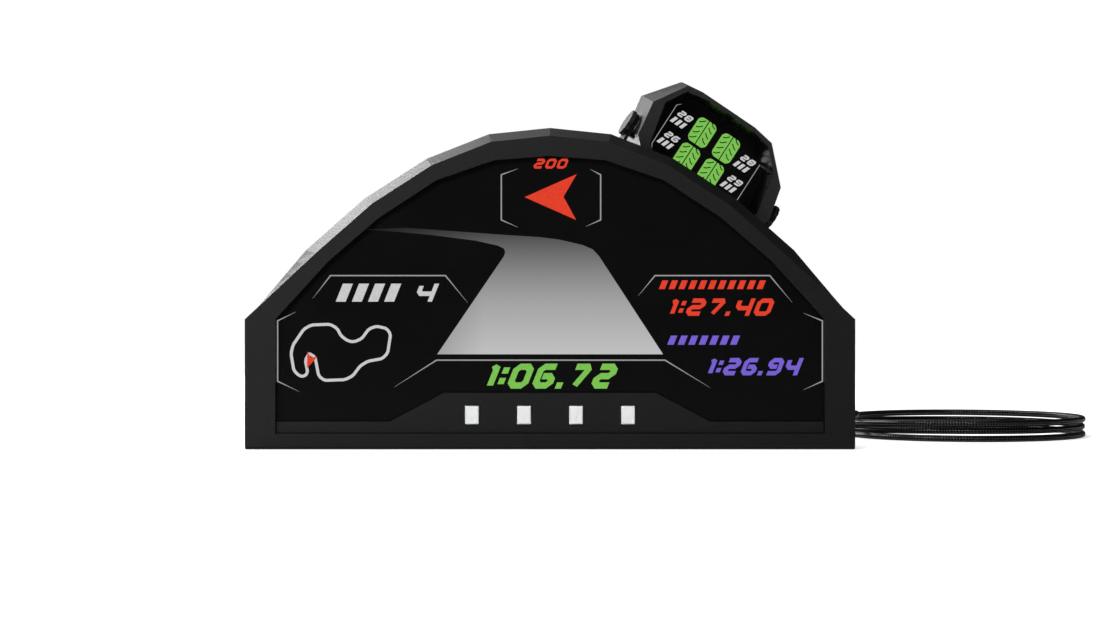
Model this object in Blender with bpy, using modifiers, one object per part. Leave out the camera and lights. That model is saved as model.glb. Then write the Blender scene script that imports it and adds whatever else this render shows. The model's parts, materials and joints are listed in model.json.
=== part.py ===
"""Desk-top lap counter: an arched display housing, a small tilting display pod
on its right shoulder, four push keys and a coiled lead.

Units are metres, +Z is up and the front of the display looks along -Y.
The origin is the middle of the non-slip pad under the housing.
"""

import math

import bmesh
import bpy
from mathutils import Matrix, Vector

MM = 0.001
GAP = 0.3 * MM
TOOL = 1.0 * MM
ON_MIDDLE = 0.001 * MM

# Housing outline, seen from the front
HALF_WIDTH = 140.0 * MM
SHOULDER = 59.7 * MM
CROWN = 148.3 * MM
BEZEL_FLARE = 4.4 * MM
BASE_BEVEL = 1.6 * MM

# Screen opening: the widths of the bezel beside, above and below it
BEZEL_SIDE = 14.0 * MM
BEZEL_TOP = 13.6 * MM
OPENING_FOOT = 7.3 * MM

# Corners of the arches, as shares of the half width and of the rise from shoulder to crown
OUTER_ARCH = [(113.0 / 140.0, 32.0 / 88.6), (86.1 / 140.0, 55.7 / 88.6), (57.2 / 140.0, 74.3 / 88.6),
              (28.3 / 140.0, 85.7 / 88.6), (0.0, 1.0)]
OPENING_ARCH = [(101.5 / 126.0, 26.8 / 75.0), (78.5 / 126.0, 46.6 / 75.0), (52.0 / 126.0, 63.9 / 75.0),
                (25.5 / 126.0, 73.0 / 75.0), (0.0, 1.0)]

# Strips of the twisted facets, where the flare grows out of the upright sides
TWIST_CUTS = 6

# Depths of the front pieces
PAD_MID_DEPTH = 38.0 * MM
FLARE_DEPTH = 10.0 * MM
BEZEL_DEPTH = 17.0 * MM
BEZEL_FACE = 3.0 * MM
BEZEL_WALL = 3.0 * MM
GLASS_THICK = 2.0 * MM
GLASS_LAP = 2.5 * MM
LCD_THICK = 3.0 * MM
LCD_INSET = 0.8 * MM
CARRIER_THICK = 1.5 * MM

# Rear housing and its cover
FLANGE_THICK = 3.0 * MM
FLANGE_INSET = 1.5 * MM
FLANGE_LIFT = 0.3 * MM
FLANGE_SCREW_INSET = 6.0 * MM
FLANGE_BOSS_LONG = 6.0 * MM
CAN_INSET = 13.5 * MM
CAN_LIFT = 0.6 * MM
CAN_WALL = 3.0 * MM
CAN_LONG = 36.4 * MM
COVER_THICK = 3.0 * MM
COVER_BEVEL = 1.2 * MM
COVER_SCREW_INSET = 4.5 * MM
COVER_BOSS_LONG = 13.0 * MM
BOSS_R = 4.0 * MM
PAD_SIDE_INSET = 35.0 * MM
PAD_HALF_DEPTH = 15.0 * MM
PAD_THICK = 1.2 * MM

# Socket-head screws of the housing
SCREW_R = 1.5 * MM
SCREW_HEAD_R = 2.8 * MM
SCREW_HEAD = 1.6 * MM
SCREW_LONG = 6.0 * MM
SCREW_SOCKET_R = 1.4 * MM
SCREW_SOCKET = 0.9 * MM
SCREW_SUNK = 0.2 * MM
SCREW_PLAY = 0.25 * MM
SCREW_END_PLAY = 0.5 * MM

# Threaded mounting inserts in the rear cover, on a square
INSERT_PITCH = 75.0 * MM
INSERT_MID_Z = 62.0 * MM
INSERT_R = 3.2 * MM
INSERT_BORE_R = 2.0 * MM
INSERT_LONG = 7.0 * MM
INSERT_BOSS_R = 6.0 * MM
INSERT_BOSS_FLOOR = 1.7 * MM

# Ventilation slots in the rear cover
VENT_COUNT = 7
VENT_PITCH = 5.6 * MM
VENT_WIDE = 2.6 * MM
VENT_TALL = 34.0 * MM
VENT_MID_INSET = 60.0 * MM

# Key panel below the screen
PANEL_STEP_Z = 12.8 * MM
PANEL_TOP_Z = 26.0 * MM
PANEL_STEP_X = 73.6 * MM
PANEL_TOP_X = 48.9 * MM
PANEL_PROUD = 1.1 * MM
KEY_COUNT = 4
KEY_PITCH = 23.9 * MM
KEY_WIDE = 6.2 * MM
KEY_TALL = 8.3 * MM
KEY_Z = 15.7 * MM
KEY_PROUD = 1.3 * MM
KEY_EDGE = 0.35 * MM
KEY_TRAVEL = 1.0 * MM
KEY_RIM = 1.0 * MM
KEY_POST_R = 1.5 * MM
KEY_POST_LONG = 1.6 * MM
KEY_PORT_R = 0.35 * MM
KEY_PORT_DEEP = 0.6 * MM
KEY_PORT_DROP = 1.4 * MM
SWITCH_SIDE = 6.0 * MM
SWITCH_THICK = 3.5 * MM

# Boards on the posts of the display carrier
BOARD_THICK = 1.6 * MM
POST_R = 2.5 * MM
EDGE_POST_INSET = 15.0 * MM
EDGE_POST_Z = 25.0 * MM
KEY_BOARD_END = 8.15 * MM
KEY_BOARD_TALL = 15.4 * MM
MAIN_BOARD_DEPTH = 24.0 * MM
MAIN_BOARD_HALF = 70.0 * MM
MAIN_BOARD_LOW = 34.0 * MM
MAIN_BOARD_HIGH = 96.0 * MM
MAIN_POST_INSET = 5.0 * MM
CHIP_SIDE = 28.0 * MM
CHIP_THICK = 3.2 * MM
CHIP_Z = 72.0 * MM
PLUG_SOCKET_WIDE = 22.0 * MM
PLUG_SOCKET_TALL = 9.0 * MM
PLUG_SOCKET_THICK = 8.0 * MM
PLUG_SOCKET_INSET = 22.0 * MM
PLUG_SOCKET_RISE = 8.0 * MM

# Pod sections in mm, half of each from the top down, with sides that lean
POD_HALF = [(14.0, 30.2), (24.6, 28.5), (37.1, 13.4), (37.9, -3.2), (33.6, -8.5)]
POD_HALF_BACK = [(10.0, 33.9), (21.4, 32.3), (37.1, 16.2), (37.6, -3.2), (33.6, -8.5)]
POD_MOUTH = [(12.0, 28.5), (23.5, 26.5), (31.4, 16.5), (31.0, -3.6), (28.9, -5.6)]
POD_MOUTH_BACK = [(12.0, 27.2), (21.6, 26.0), (30.8, 15.2), (30.8, -3.6), (28.9, -5.6)]
POD_RAKE = 0.193

# Pod place: the arch facet that it stands on, its shift along it, its depth and its turn
POD_FACET_INDEX = 3
POD_ALONG = -3.4 * MM
POD_DEPTH = 45.8 * MM
POD_YAW = math.radians(10.5)

# Pod pieces, in depths behind the tilt axis
POD_FRONT = -15.0 * MM
POD_BACK = 15.0 * MM
POD_RECESS = 18.5 * MM
POD_LEDGE = 0.9 * MM
POD_LENS_THICK = 1.5 * MM
POD_LCD_THICK = 2.5 * MM
POD_COVER_LONG = 5.0 * MM
POD_COVER_SKIN = 2.0 * MM
POD_COVER_BEVEL = 0.8 * MM
POD_POST_X = 18.0 * MM
POD_POST_Z = [0.0 * MM, 18.0 * MM]
POD_POST_R = 2.0 * MM
POD_SCREW_X = 33.7 * MM
POD_SCREW_Z = [-2.0 * MM, 10.5 * MM]
POD_SCREW_R = 1.0 * MM
POD_SCREW_HEAD_R = 1.7 * MM
POD_SCREW_HEAD = 1.0 * MM
POD_SCREW_LONG = 9.0 * MM
POD_SCREW_SOCKET_R = 0.8 * MM
POD_SCREW_SOCKET = 0.6 * MM

# Tilt pivot: bosses on the hood, washers, bent yoke and lobed knobs
PIVOT_BOSS_R = 5.2 * MM
PIVOT_FACE = 38.0 * MM
WASHER_THICK = 0.4 * MM
WASHER_R = 5.0 * MM
YOKE_SHEET = 1.5 * MM
YOKE_HALF_DEPTH = 6.0 * MM
YOKE_BEND_R = 3.0 * MM
YOKE_CLEARANCE = 4.0 * MM
BEND_STEPS = 4
KNOB_THICK = 2.2 * MM
KNOB_R = 6.2 * MM
KNOB_LOBE = 0.3 * MM
KNOB_LOBES = 12
KNOB_EDGE = 0.4 * MM
STUD_R = 1.5 * MM
STUD_DEEP = 3.7 * MM
STUD_END_PLAY = 0.8 * MM

# Swivel foot of the pod
PEDESTAL_R = 10.0 * MM
PEDESTAL_TALL = 4.0 * MM
SPIGOT_R = 5.5 * MM
SPIGOT_LONG = 8.0 * MM
PEDESTAL_NUT_R = 8.4 * MM
PEDESTAL_NUT_THICK = 3.4 * MM
SWIVEL_R = 2.5 * MM
SWIVEL_HEAD_R = 4.0 * MM
SWIVEL_HEAD = 1.1 * MM
SWIVEL_LONG = 11.0 * MM
SWIVEL_SOCKET_R = 1.6 * MM
SWIVEL_SOCKET = 0.7 * MM

# Cable gland and its boot
GLAND_INSET = 30.0 * MM
GLAND_Z = 20.0 * MM
GLAND_R = 5.5 * MM
GLAND_LONG = 10.0 * MM
GLAND_BORE_R = 2.2 * MM
GLAND_HEX_R = 8.0 * MM
GLAND_HEX_THICK = 5.0 * MM
GLAND_NUT_THICK = 4.0 * MM
BOOT_LONG = 25.0 * MM
BOOT_BASE_R = 4.8 * MM
BOOT_TIP_R = 2.7 * MM
BOOT_GROOVES = 5
BOOT_GROOVE = 0.5 * MM

# Cord, with the knots of its free stretches in mm, and the coil
CORD_R = 1.6 * MM
CORD_LIFT = 0.05 * MM
CORD_STEP = 7.0 * MM
CURVE_SAMPLES = 40
COIL_X = 211.0 * MM
COIL_Y = 77.0 * MM
COIL_R = 60.9 * MM
COIL_STEP = 3.7 * MM
COIL_LAYERS = 3
COIL_POINTS = 24
LEAD_KNOTS = [(110.0, 62.0, 19.5), (110.0, 75.0, 14.0), (111.0, 89.0, 6.0), (116.0, 102.0, 2.3),
              (127.0, 109.5, 1.65), (139.5, 106.0, 1.65), (147.5, 95.0, 1.65)]
TAIL_KNOTS = [(154.5, 66.0, 10.9), (154.1, 61.0, 11.8), (152.0, 54.5, 11.5), (147.5, 49.0, 8.5),
              (140.5, 44.8, 5.0), (131.0, 41.5, 2.4), (119.0, 39.4, 1.8), (106.0, 39.0, 2.8)]

# Plug, lying behind the housing
PLUG_X = 92.0 * MM
PLUG_Y = 39.0 * MM
PLUG_LONG = 30.0 * MM
PLUG_R = 5.2 * MM
PLUG_LIFT = 0.1 * MM
PLUG_NECK_R = 2.8 * MM
PLUG_NECK_LONG = 6.0 * MM
PLUG_SHOULDER = 3.0 * MM
SLEEVE_R = 2.75 * MM
SLEEVE_BORE_R = 1.1 * MM
SLEEVE_LONG = 10.0 * MM

# Colour, roughness and metallic value of each finish
ABS_BLACK = ((0.012, 0.012, 0.013), 0.55, 0.0)
ABS_PANEL = ((0.016, 0.016, 0.017), 0.45, 0.0)
GLASS_BLACK = ((0.008, 0.008, 0.009), 0.08, 0.0)
KEY_WHITE = ((0.80, 0.80, 0.80), 0.40, 0.0)
STEEL = ((0.50, 0.50, 0.51), 0.30, 1.0)
BLACK_STEEL = ((0.020, 0.020, 0.022), 0.40, 0.9)
BRASS = ((0.60, 0.42, 0.16), 0.32, 1.0)
BOARD_GREEN = ((0.010, 0.070, 0.030), 0.50, 0.0)
LCD_GREY = ((0.030, 0.032, 0.036), 0.30, 0.0)
RUBBER = ((0.018, 0.018, 0.018), 0.80, 0.0)
BRAID = ((0.025, 0.025, 0.027), 0.50, 0.0)

parts = bpy.data.collections.new("lap_counter")
cutters = bpy.data.collections.new("lap_counter_cutters")


def clear_scene():
    """Remove whatever the file holds and link the two collections."""
    for obj in list(bpy.data.objects):
        bpy.data.objects.remove(obj, do_unlink=True)
    bpy.context.scene.collection.children.link(parts)
    bpy.context.scene.collection.children.link(cutters)


def place(obj, finish, matrix=None, parent=None):
    """Give a sub-part its material and put it at its place under its parent."""
    colour, roughness, metallic = finish
    mat = bpy.data.materials.new(obj.name)
    mat.use_nodes = True
    shader = mat.node_tree.nodes["Principled BSDF"]
    shader.inputs["Base Color"].default_value = (*colour, 1.0)
    shader.inputs["Roughness"].default_value = roughness
    shader.inputs["Metallic"].default_value = metallic
    obj.data.materials.clear()
    obj.data.materials.append(mat)
    parts.objects.link(obj)
    obj.parent = parent
    obj.matrix_basis = matrix or Matrix.Identity(4)
    return obj


def combine(obj, operation, other, matrix=None):
    """Cut, join or intersect a placed object with a guide that shares its parent."""
    cutters.objects.link(other)
    other.hide_render = True
    other.display_type = "WIRE"
    other.parent = obj.parent
    other.matrix_basis = matrix or Matrix.Identity(4)
    mod = obj.modifiers.new(operation.title(), "BOOLEAN")
    mod.operation = operation
    mod.object = other
    mod.solver = "EXACT"


def axis(name, matrix, parent=None):
    """An empty on a joint's axis, for the pieces that turn about it."""
    empty = bpy.data.objects.new(name, None)
    empty.empty_display_size = PEDESTAL_R
    parts.objects.link(empty)
    empty.parent = parent
    empty.matrix_basis = matrix
    return empty


def mesh_object(name, bm):
    """An object made from a bmesh: faces out, smooth where the shape is round."""
    bmesh.ops.recalc_face_normals(bm, faces=bm.faces)
    mesh = bpy.data.meshes.new(name)
    bm.to_mesh(mesh)
    bm.free()
    mesh.shade_smooth()
    mesh.set_sharp_from_angle(angle=math.radians(40))
    return bpy.data.objects.new(name, mesh)


def boxes(name, corners):
    """One mesh of boxes, each given by its low and its high corner."""
    bm = bmesh.new()
    for low, high in corners:
        low, high = Vector(low), Vector(high)
        made = bmesh.ops.create_cube(bm, size=1.0)
        size = Matrix.Diagonal((*(high - low), 1.0))
        bmesh.ops.transform(bm, matrix=Matrix.Translation((low + high) / 2) @ size, verts=made["verts"])
    return mesh_object(name, bm)


def rods(name, lines):
    """One mesh of round bars, each given by its two ends and its radius."""
    bm = bmesh.new()
    for start, end, radius in lines:
        start, end = Vector(start), Vector(end)
        along = end - start
        made = bmesh.ops.create_cone(
            bm, cap_ends=True, segments=16, radius1=radius, radius2=radius, depth=along.length)
        turn = Vector((0, 0, 1)).rotation_difference(along).to_matrix().to_4x4()
        bmesh.ops.transform(bm, matrix=Matrix.Translation((start + end) / 2) @ turn, verts=made["verts"])
    return mesh_object(name, bm)


def mesh_from_curve(name, curve):
    """A mesh object from a curve, with its caps joined to its sides."""
    source = bpy.data.objects.new(name + "_curve", curve)
    cutters.objects.link(source)
    mesh = bpy.data.meshes.new_from_object(source.evaluated_get(bpy.context.evaluated_depsgraph_get()))
    bpy.data.objects.remove(source, do_unlink=True)
    bm = bmesh.new()
    bm.from_mesh(mesh)
    bpy.data.meshes.remove(mesh)
    bmesh.ops.remove_doubles(bm, verts=bm.verts, dist=0.00001)
    return mesh_object(name, bm)


def add_loop(curve, points, cyclic):
    """Add a run of straight segments to a curve."""
    spline = curve.splines.new("POLY")
    spline.points.add(len(points) - 1)
    for vertex, point in zip(spline.points, points):
        vertex.co = (*point, 1.0)
    spline.use_cyclic_u = cyclic


def plate(name, thickness, outline, holes=()):
    """A flat sheet in XY, cut to its outline, with its holes."""
    curve = bpy.data.curves.new(name, "CURVE")
    curve.dimensions = "2D"
    curve.fill_mode = "BOTH"
    curve.extrude = thickness / 2
    for loop in [outline, *holes]:
        add_loop(curve, [(x, y, 0.0) for x, y in loop], cyclic=True)
    return mesh_from_curve(name, curve)


def tube(name, points, resolution):
    """A length of cord through the points, with both ends closed."""
    curve = bpy.data.curves.new(name, "CURVE")
    curve.dimensions = "3D"
    curve.bevel_depth = CORD_R
    curve.bevel_resolution = resolution
    curve.use_fill_caps = True
    add_loop(curve, points, cyclic=False)
    return mesh_from_curve(name, curve)


def turned(name, profile, steps=32):
    """Revolve a profile of (radius, height), down its outer side; off the axis it is a ring."""
    mesh = bpy.data.meshes.new(name)
    edges = [(i, i + 1) for i in range(len(profile) - 1)]
    if profile[0][0] > 0:
        edges.append((len(profile) - 1, 0))
    mesh.from_pydata([(radius, 0.0, height) for radius, height in profile], edges, [])
    obj = bpy.data.objects.new(name, mesh)
    screw = obj.modifiers.new("Turn", "SCREW")
    screw.steps = steps
    screw.render_steps = steps
    screw.use_merge_vertices = True
    screw.merge_threshold = 0.00001
    return obj


def loft(name, rings):
    """Skin a row of equal rings and close both ends."""
    bm = bmesh.new()
    rows = [[bm.verts.new(point) for point in ring] for ring in rings]
    for row, nxt in zip(rows, rows[1:]):
        for i in range(len(row)):
            j = (i + 1) % len(row)
            bm.faces.new((row[i], row[j], nxt[j], nxt[i]))
    bm.faces.new(rows[0])
    bm.faces.new(rows[-1])
    return mesh_object(name, bm)


def screw(name, head_r, head, radius, length, socket_r, socket):
    """A socket-head screw: the top of its head at zero, its shank downwards."""
    profile = [(0.0, -socket), (socket_r, -socket), (socket_r, 0.0), (head_r, 0.0), (head_r, -head),
               (radius, -head), (radius, -head - length), (0.0, -head - length)]
    return turned(name, profile, steps=12)


def in_mm(points):
    """Metres from a list written in millimetres."""
    return [tuple(value * MM for value in point) for point in points]


def mirrored(half):
    """A closed outline from its right half, listed upwards; a point on the middle line stays single."""
    return half + [(-x, z) for x, z in reversed(half) if x > ON_MIDDLE]


def arched(half, foot, top, arch):
    """An upright outline of straight sides up to the shoulder and an arch above it."""
    corners = [(half * across, SHOULDER + (top - SHOULDER) * rise) for across, rise in arch]
    return mirrored([(half, foot), (half, SHOULDER)] + corners)


def offset(outline, grow, foot=None):
    """Move the edges of a counter-clockwise outline outwards; foot is for its lowest edge."""
    lines = []
    for i, start in enumerate(outline):
        start, end = Vector(start), Vector(outline[(i + 1) % len(outline)])
        run = (end - start).normalized()
        is_foot = foot is not None and run.x > 0.999
        lines.append((start + Vector((run.y, -run.x)) * (foot if is_foot else grow), run))
    moved = []
    for (p, d), (q, e) in zip([lines[-1]] + lines[:-1], lines):
        reach = ((q.x - p.x) * e.y - (q.y - p.y) * e.x) / (d.x * e.y - d.y * e.x)
        moved.append((p.x + d.x * reach, p.y + d.y * reach))
    return moved


def between(first, second, share):
    """An outline part of the way from one outline to another."""
    return [(a + (c - a) * share, b + (d - b) * share) for (a, b), (c, d) in zip(first, second)]


def with_cuts(outline, edges, cuts):
    """An outline with some of its edges, named by their first corners, cut into equal lengths."""
    points = []
    for i, start in enumerate(outline):
        pieces = cuts if i in edges else 1
        points += [between([start], [outline[(i + 1) % len(outline)]], k / pieces)[0] for k in range(pieces)]
    return points


def circle(radius, count=24):
    """Points of a round or, with six, a hexagonal outline."""
    turns = [math.tau * i / count for i in range(count)]
    return [(radius * math.cos(turn), radius * math.sin(turn)) for turn in turns]


def ring_at(outline, depth):
    """A front-view outline, set at its depth behind the front face."""
    return [(x, FRONT_Y + depth, z) for x, z in outline]


def stand(y, thickness, x=0.0, z=0.0):
    """Stand a flat sheet up with its front at y."""
    return Matrix.Translation((x, y + thickness / 2, z)) @ UPRIGHT


def backward(x, depth, z, length, radius):
    """A bar that runs straight back from its depth."""
    return (x, FRONT_Y + depth, z), (x, FRONT_Y + depth + length, z), radius


def box_at(x, z, wide, tall, depth, thickness):
    """Corners of an upright box behind the front face."""
    y = FRONT_Y + depth
    return (x - wide / 2, y, z - tall / 2), (x + wide / 2, y + thickness, z + tall / 2)


def both_sides(places):
    """The same places on the right and on the left."""
    return [(side * x, z) for side in (1, -1) for x, z in places]


def pod_outline(half, grow=0.0):
    """A section of the pod, grown, with its sides leaning."""
    return [(x - POD_RAKE * z, z) for x, z in offset(mirrored(in_mm(reversed(half))), grow)]


def pod_ring(half, y, grow=0.0):
    """A section of the pod, set at its depth behind the tilt axis."""
    return [(x, y, z) for x, z in pod_outline(half, grow)]


def channel(half, low, high):
    """A U section: the yoke's sheet bent up at both sides."""
    outside, inside = [], []
    for i in range(BEND_STEPS + 1):
        turn = math.radians(90) * i / BEND_STEPS
        for side, radius in ((outside, YOKE_BEND_R), (inside, YOKE_BEND_R - YOKE_SHEET)):
            x = half + YOKE_SHEET - YOKE_BEND_R + radius * math.sin(turn)
            side.append((x, low + YOKE_BEND_R - radius * math.cos(turn)))
    right = [*outside, (half + YOKE_SHEET, high), (half, high), *reversed(inside)]
    return right + [(-x, z) for x, z in reversed(right)]


def smooth_route(points):
    """Straight end runs, and even steps along a smooth curve through the points between them."""
    fine = []
    for before, a, b, after in zip(points, points[1:], points[2:], points[3:]):
        for i in range(CURVE_SAMPLES):
            t = i / CURVE_SAMPLES
            square = (2 * before - 5 * a + 4 * b - after) * t ** 2
            cube = (3 * a - before - 3 * b + after) * t ** 3
            fine.append((2 * a + (b - before) * t + square + cube) / 2)
    fine.append(points[-2])
    total = route_length(fine)
    count = round(total / CORD_STEP)
    route, walked = [fine[0]], 0.0
    for a, b in zip(fine, fine[1:]):
        walked += (b - a).length
        if walked >= total * len(route) / count and len(route) < count:
            route.append(b)
    for point in route:
        point.z = max(point.z, CORD_R + CORD_LIFT)
    return [points[0], *route, points[-2], points[-1]]


def route_length(points):
    """Length along a row of points."""
    return sum((b - a).length for a, b in zip(points, points[1:]))


def eased(share):
    """A climb that starts and ends level."""
    return share * share * (3 - 2 * share)


def coil_height(turns):
    """Layers climbed: each climb fills the half turn in which the spiral reverses."""
    climbs = [min(max((turns - turn + 0.25) * 2, 0.0), 1.0) for turn in range(1, COIL_LAYERS)]
    return sum(eased(climb) for climb in climbs)


def coil_route():
    """Loops that spiral in and out again, with a straight run at each end."""
    points = []
    for i in range(COIL_LAYERS * COIL_POINTS + 1):
        turns = i / COIL_POINTS
        inward = 1 - abs(turns % 2 - 1)
        radius = COIL_R - COIL_STEP * inward
        angle = math.pi + math.tau * turns
        height = CORD_R + CORD_LIFT + COIL_STEP * coil_height(turns)
        points.append(Vector((COIL_X + radius * math.cos(angle), COIL_Y + radius * math.sin(angle), height)))
    straight = Vector((0.0, 2 * CORD_R, 0.0))
    return [points[0] + straight, *points, points[-1] - straight]


def least_gap(points):
    """Least clear distance between loops, measured on the points."""
    apart = COIL_POINTS // 2
    pairs = [(a, b) for i, a in enumerate(points) for b in points[i + apart:]]
    return min((a - b).length for a, b in pairs) - 2 * CORD_R


# Axes for sheets that stand up and for sheets that face sideways
UPRIGHT = Matrix.Rotation(math.radians(90), 4, "X")
BACKWARD = Matrix.Rotation(math.radians(-90), 4, "X")
SIDEWAYS = Matrix(((0, 0, 1, 0), (1, 0, 0, 0), (0, 1, 0, 0), (0, 0, 0, 1)))

# Outlines that several pieces share
FRONT_Y = -PAD_MID_DEPTH
outer = arched(HALF_WIDTH, 0.0, CROWN, OUTER_ARCH)
flare = 1 - BEZEL_FLARE / (CROWN - SHOULDER)
front = [(x, z) if z <= SHOULDER else (x * flare, SHOULDER + (z - SHOULDER) * flare) for x, z in outer]
opening_half = HALF_WIDTH - BEZEL_SIDE
opening = arched(opening_half, OPENING_FOOT, CROWN - BEZEL_TOP, OPENING_ARCH)
lapped = offset(opening, GLASS_LAP)
panel_base = mirrored([lapped[0], (lapped[0][0], PANEL_STEP_Z), (PANEL_STEP_X, PANEL_STEP_Z),
                       (PANEL_TOP_X, PANEL_TOP_Z)])
above_panel = offset(panel_base, GAP)
glass_outline = mirrored([above_panel[3], above_panel[2], (lapped[0][0], above_panel[2][1])]
                         + lapped[1:len(lapped) // 2 + 1])
can_outline = offset(outer, -CAN_INSET, foot=-CAN_LIFT)
can_inside = offset(can_outline, -CAN_WALL)

# Depths that follow from the pieces in front
glass_depth = BEZEL_FACE + GAP
panel_depth = glass_depth - PANEL_PROUD
panel_back = glass_depth + GLASS_THICK
lcd_depth = panel_back + GAP
carrier_depth = lcd_depth + LCD_THICK + GAP
carrier_back = carrier_depth + CARRIER_THICK
key_depth = panel_depth - KEY_PROUD
key_end = panel_back + GAP + KEY_RIM + KEY_POST_LONG
switch_depth = key_end + KEY_TRAVEL + GAP
key_board_depth = switch_depth + SWITCH_THICK + GAP
main_board_back = MAIN_BOARD_DEPTH + BOARD_THICK
flange_depth = BEZEL_DEPTH + GAP
can_start = flange_depth + FLANGE_THICK
can_end = can_start + CAN_LONG
cover_depth = can_end + GAP
cover_back = cover_depth + COVER_THICK
screw_reach = SCREW_SUNK + SCREW_HEAD + SCREW_LONG + SCREW_END_PLAY
counterbore = SCREW_SUNK + SCREW_HEAD + GAP

# Places of screws, inserts and keys, seen from the front
flange_line = offset(outer, -FLANGE_SCREW_INSET)
flange_mid = between(flange_line[2:3], flange_line[3:4], 0.5)[0]
flange_screws = [(0.0, CROWN - FLANGE_SCREW_INSET)]
flange_screws += both_sides([(HALF_WIDTH - FLANGE_SCREW_INSET, SHOULDER / 2), flange_mid])
cover_line = offset(can_outline, -COVER_SCREW_INSET)
cover_screws = both_sides([cover_line[0], (cover_line[1][0], cover_line[1][1] - BOSS_R), cover_line[5]])
inserts = both_sides([(INSERT_PITCH / 2, INSERT_MID_Z + side * INSERT_PITCH / 2) for side in (-1, 1)])
keys = [((i - (KEY_COUNT - 1) / 2) * KEY_PITCH, KEY_Z) for i in range(KEY_COUNT)]
key_board_half = keys[-1][0] + SWITCH_SIDE / 2 + KEY_BOARD_END
key_board_low, key_board_high = KEY_Z - KEY_BOARD_TALL / 2, KEY_Z + KEY_BOARD_TALL / 2
vent_mid = HALF_WIDTH - VENT_MID_INSET
gland_x = HALF_WIDTH - GLAND_INSET

# The pod's levels below its tilt axis, and the frame of its foot on the arch
pod_bottom = POD_HALF[-1][1] * MM
yoke_top = pod_bottom - YOKE_CLEARANCE
yoke_bottom = yoke_top - YOKE_SHEET
pedestal_top = yoke_bottom - GAP
pedestal_foot = pedestal_top - PEDESTAL_TALL
facet_level = pedestal_foot - GAP
facet_right, facet_left = (Vector(can_outline[POD_FACET_INDEX + end]) for end in (0, 1))
facet_run = (facet_right - facet_left).normalized()
facet_up = Vector((-facet_run.y, facet_run.x))
pivot = (facet_right + facet_left) / 2 + facet_run * POD_ALONG - facet_up * facet_level
foot_matrix = (Matrix.Translation((pivot.x, FRONT_Y + POD_DEPTH, pivot.y))
               @ Matrix.Rotation(math.atan2(-facet_run.y, facet_run.x), 4, "Y"))

# The pod's pieces from its front to its back, and those outside its pivot bosses
ledge_y = POD_FRONT + POD_RECESS
lens_y = ledge_y + GAP
pod_lcd_y = lens_y + POD_LENS_THICK + GAP
pod_board_y = pod_lcd_y + POD_LCD_THICK + GAP
pod_cover_y = POD_BACK + GAP
pod_cover_back = pod_cover_y + POD_COVER_LONG
pod_screw_reach = SCREW_SUNK + POD_SCREW_HEAD + POD_SCREW_LONG + SCREW_END_PLAY
pod_counterbore = SCREW_SUNK + POD_SCREW_HEAD + GAP
pod_screws = [(side * POD_SCREW_X - POD_RAKE * z, z) for side in (1, -1) for z in POD_SCREW_Z]
washer_x = PIVOT_FACE + GAP
yoke_x = washer_x + WASHER_THICK + GAP
knob_x = yoke_x + YOKE_SHEET + GAP


def build_bezel():
    """Flared frame with its cavity, its screen opening and the bosses for the flange screws."""
    twisted = (1, len(outer) - 3)
    front_line, outer_line = (with_cuts(line, twisted, TWIST_CUTS) for line in (front, outer))
    chamfered = [(x, max(z, BASE_BEVEL)) for x, z in front_line]
    bezel = place(loft("front_bezel", [
        ring_at(chamfered, 0.0),
        ring_at(between(front_line, outer_line, BASE_BEVEL / FLARE_DEPTH), BASE_BEVEL),
        ring_at(outer_line, FLARE_DEPTH),
        ring_at(outer_line, BEZEL_DEPTH)]), ABS_BLACK)
    combine(bezel, "DIFFERENCE", loft("bezel_cavity", [
        ring_at(offset(between(front, outer, BEZEL_FACE / FLARE_DEPTH), -BEZEL_WALL), BEZEL_FACE),
        ring_at(offset(outer, -BEZEL_WALL), FLARE_DEPTH),
        ring_at(offset(outer, -BEZEL_WALL), BEZEL_DEPTH + TOOL)]))
    combine(bezel, "DIFFERENCE", plate("bezel_opening", BEZEL_FACE + 2 * TOOL, opening),
            stand(FRONT_Y - TOOL, BEZEL_FACE + 2 * TOOL))
    boss_depth = BEZEL_DEPTH - FLANGE_BOSS_LONG
    combine(bezel, "UNION", rods("bezel_bosses", [
        backward(x, boss_depth, z, FLANGE_BOSS_LONG - GAP, BOSS_R) for x, z in flange_screws]))
    combine(bezel, "DIFFERENCE", rods("bezel_boss_holes", [
        backward(x, can_start - screw_reach, z, screw_reach, SCREW_R + SCREW_PLAY)
        for x, z in flange_screws]))


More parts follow.
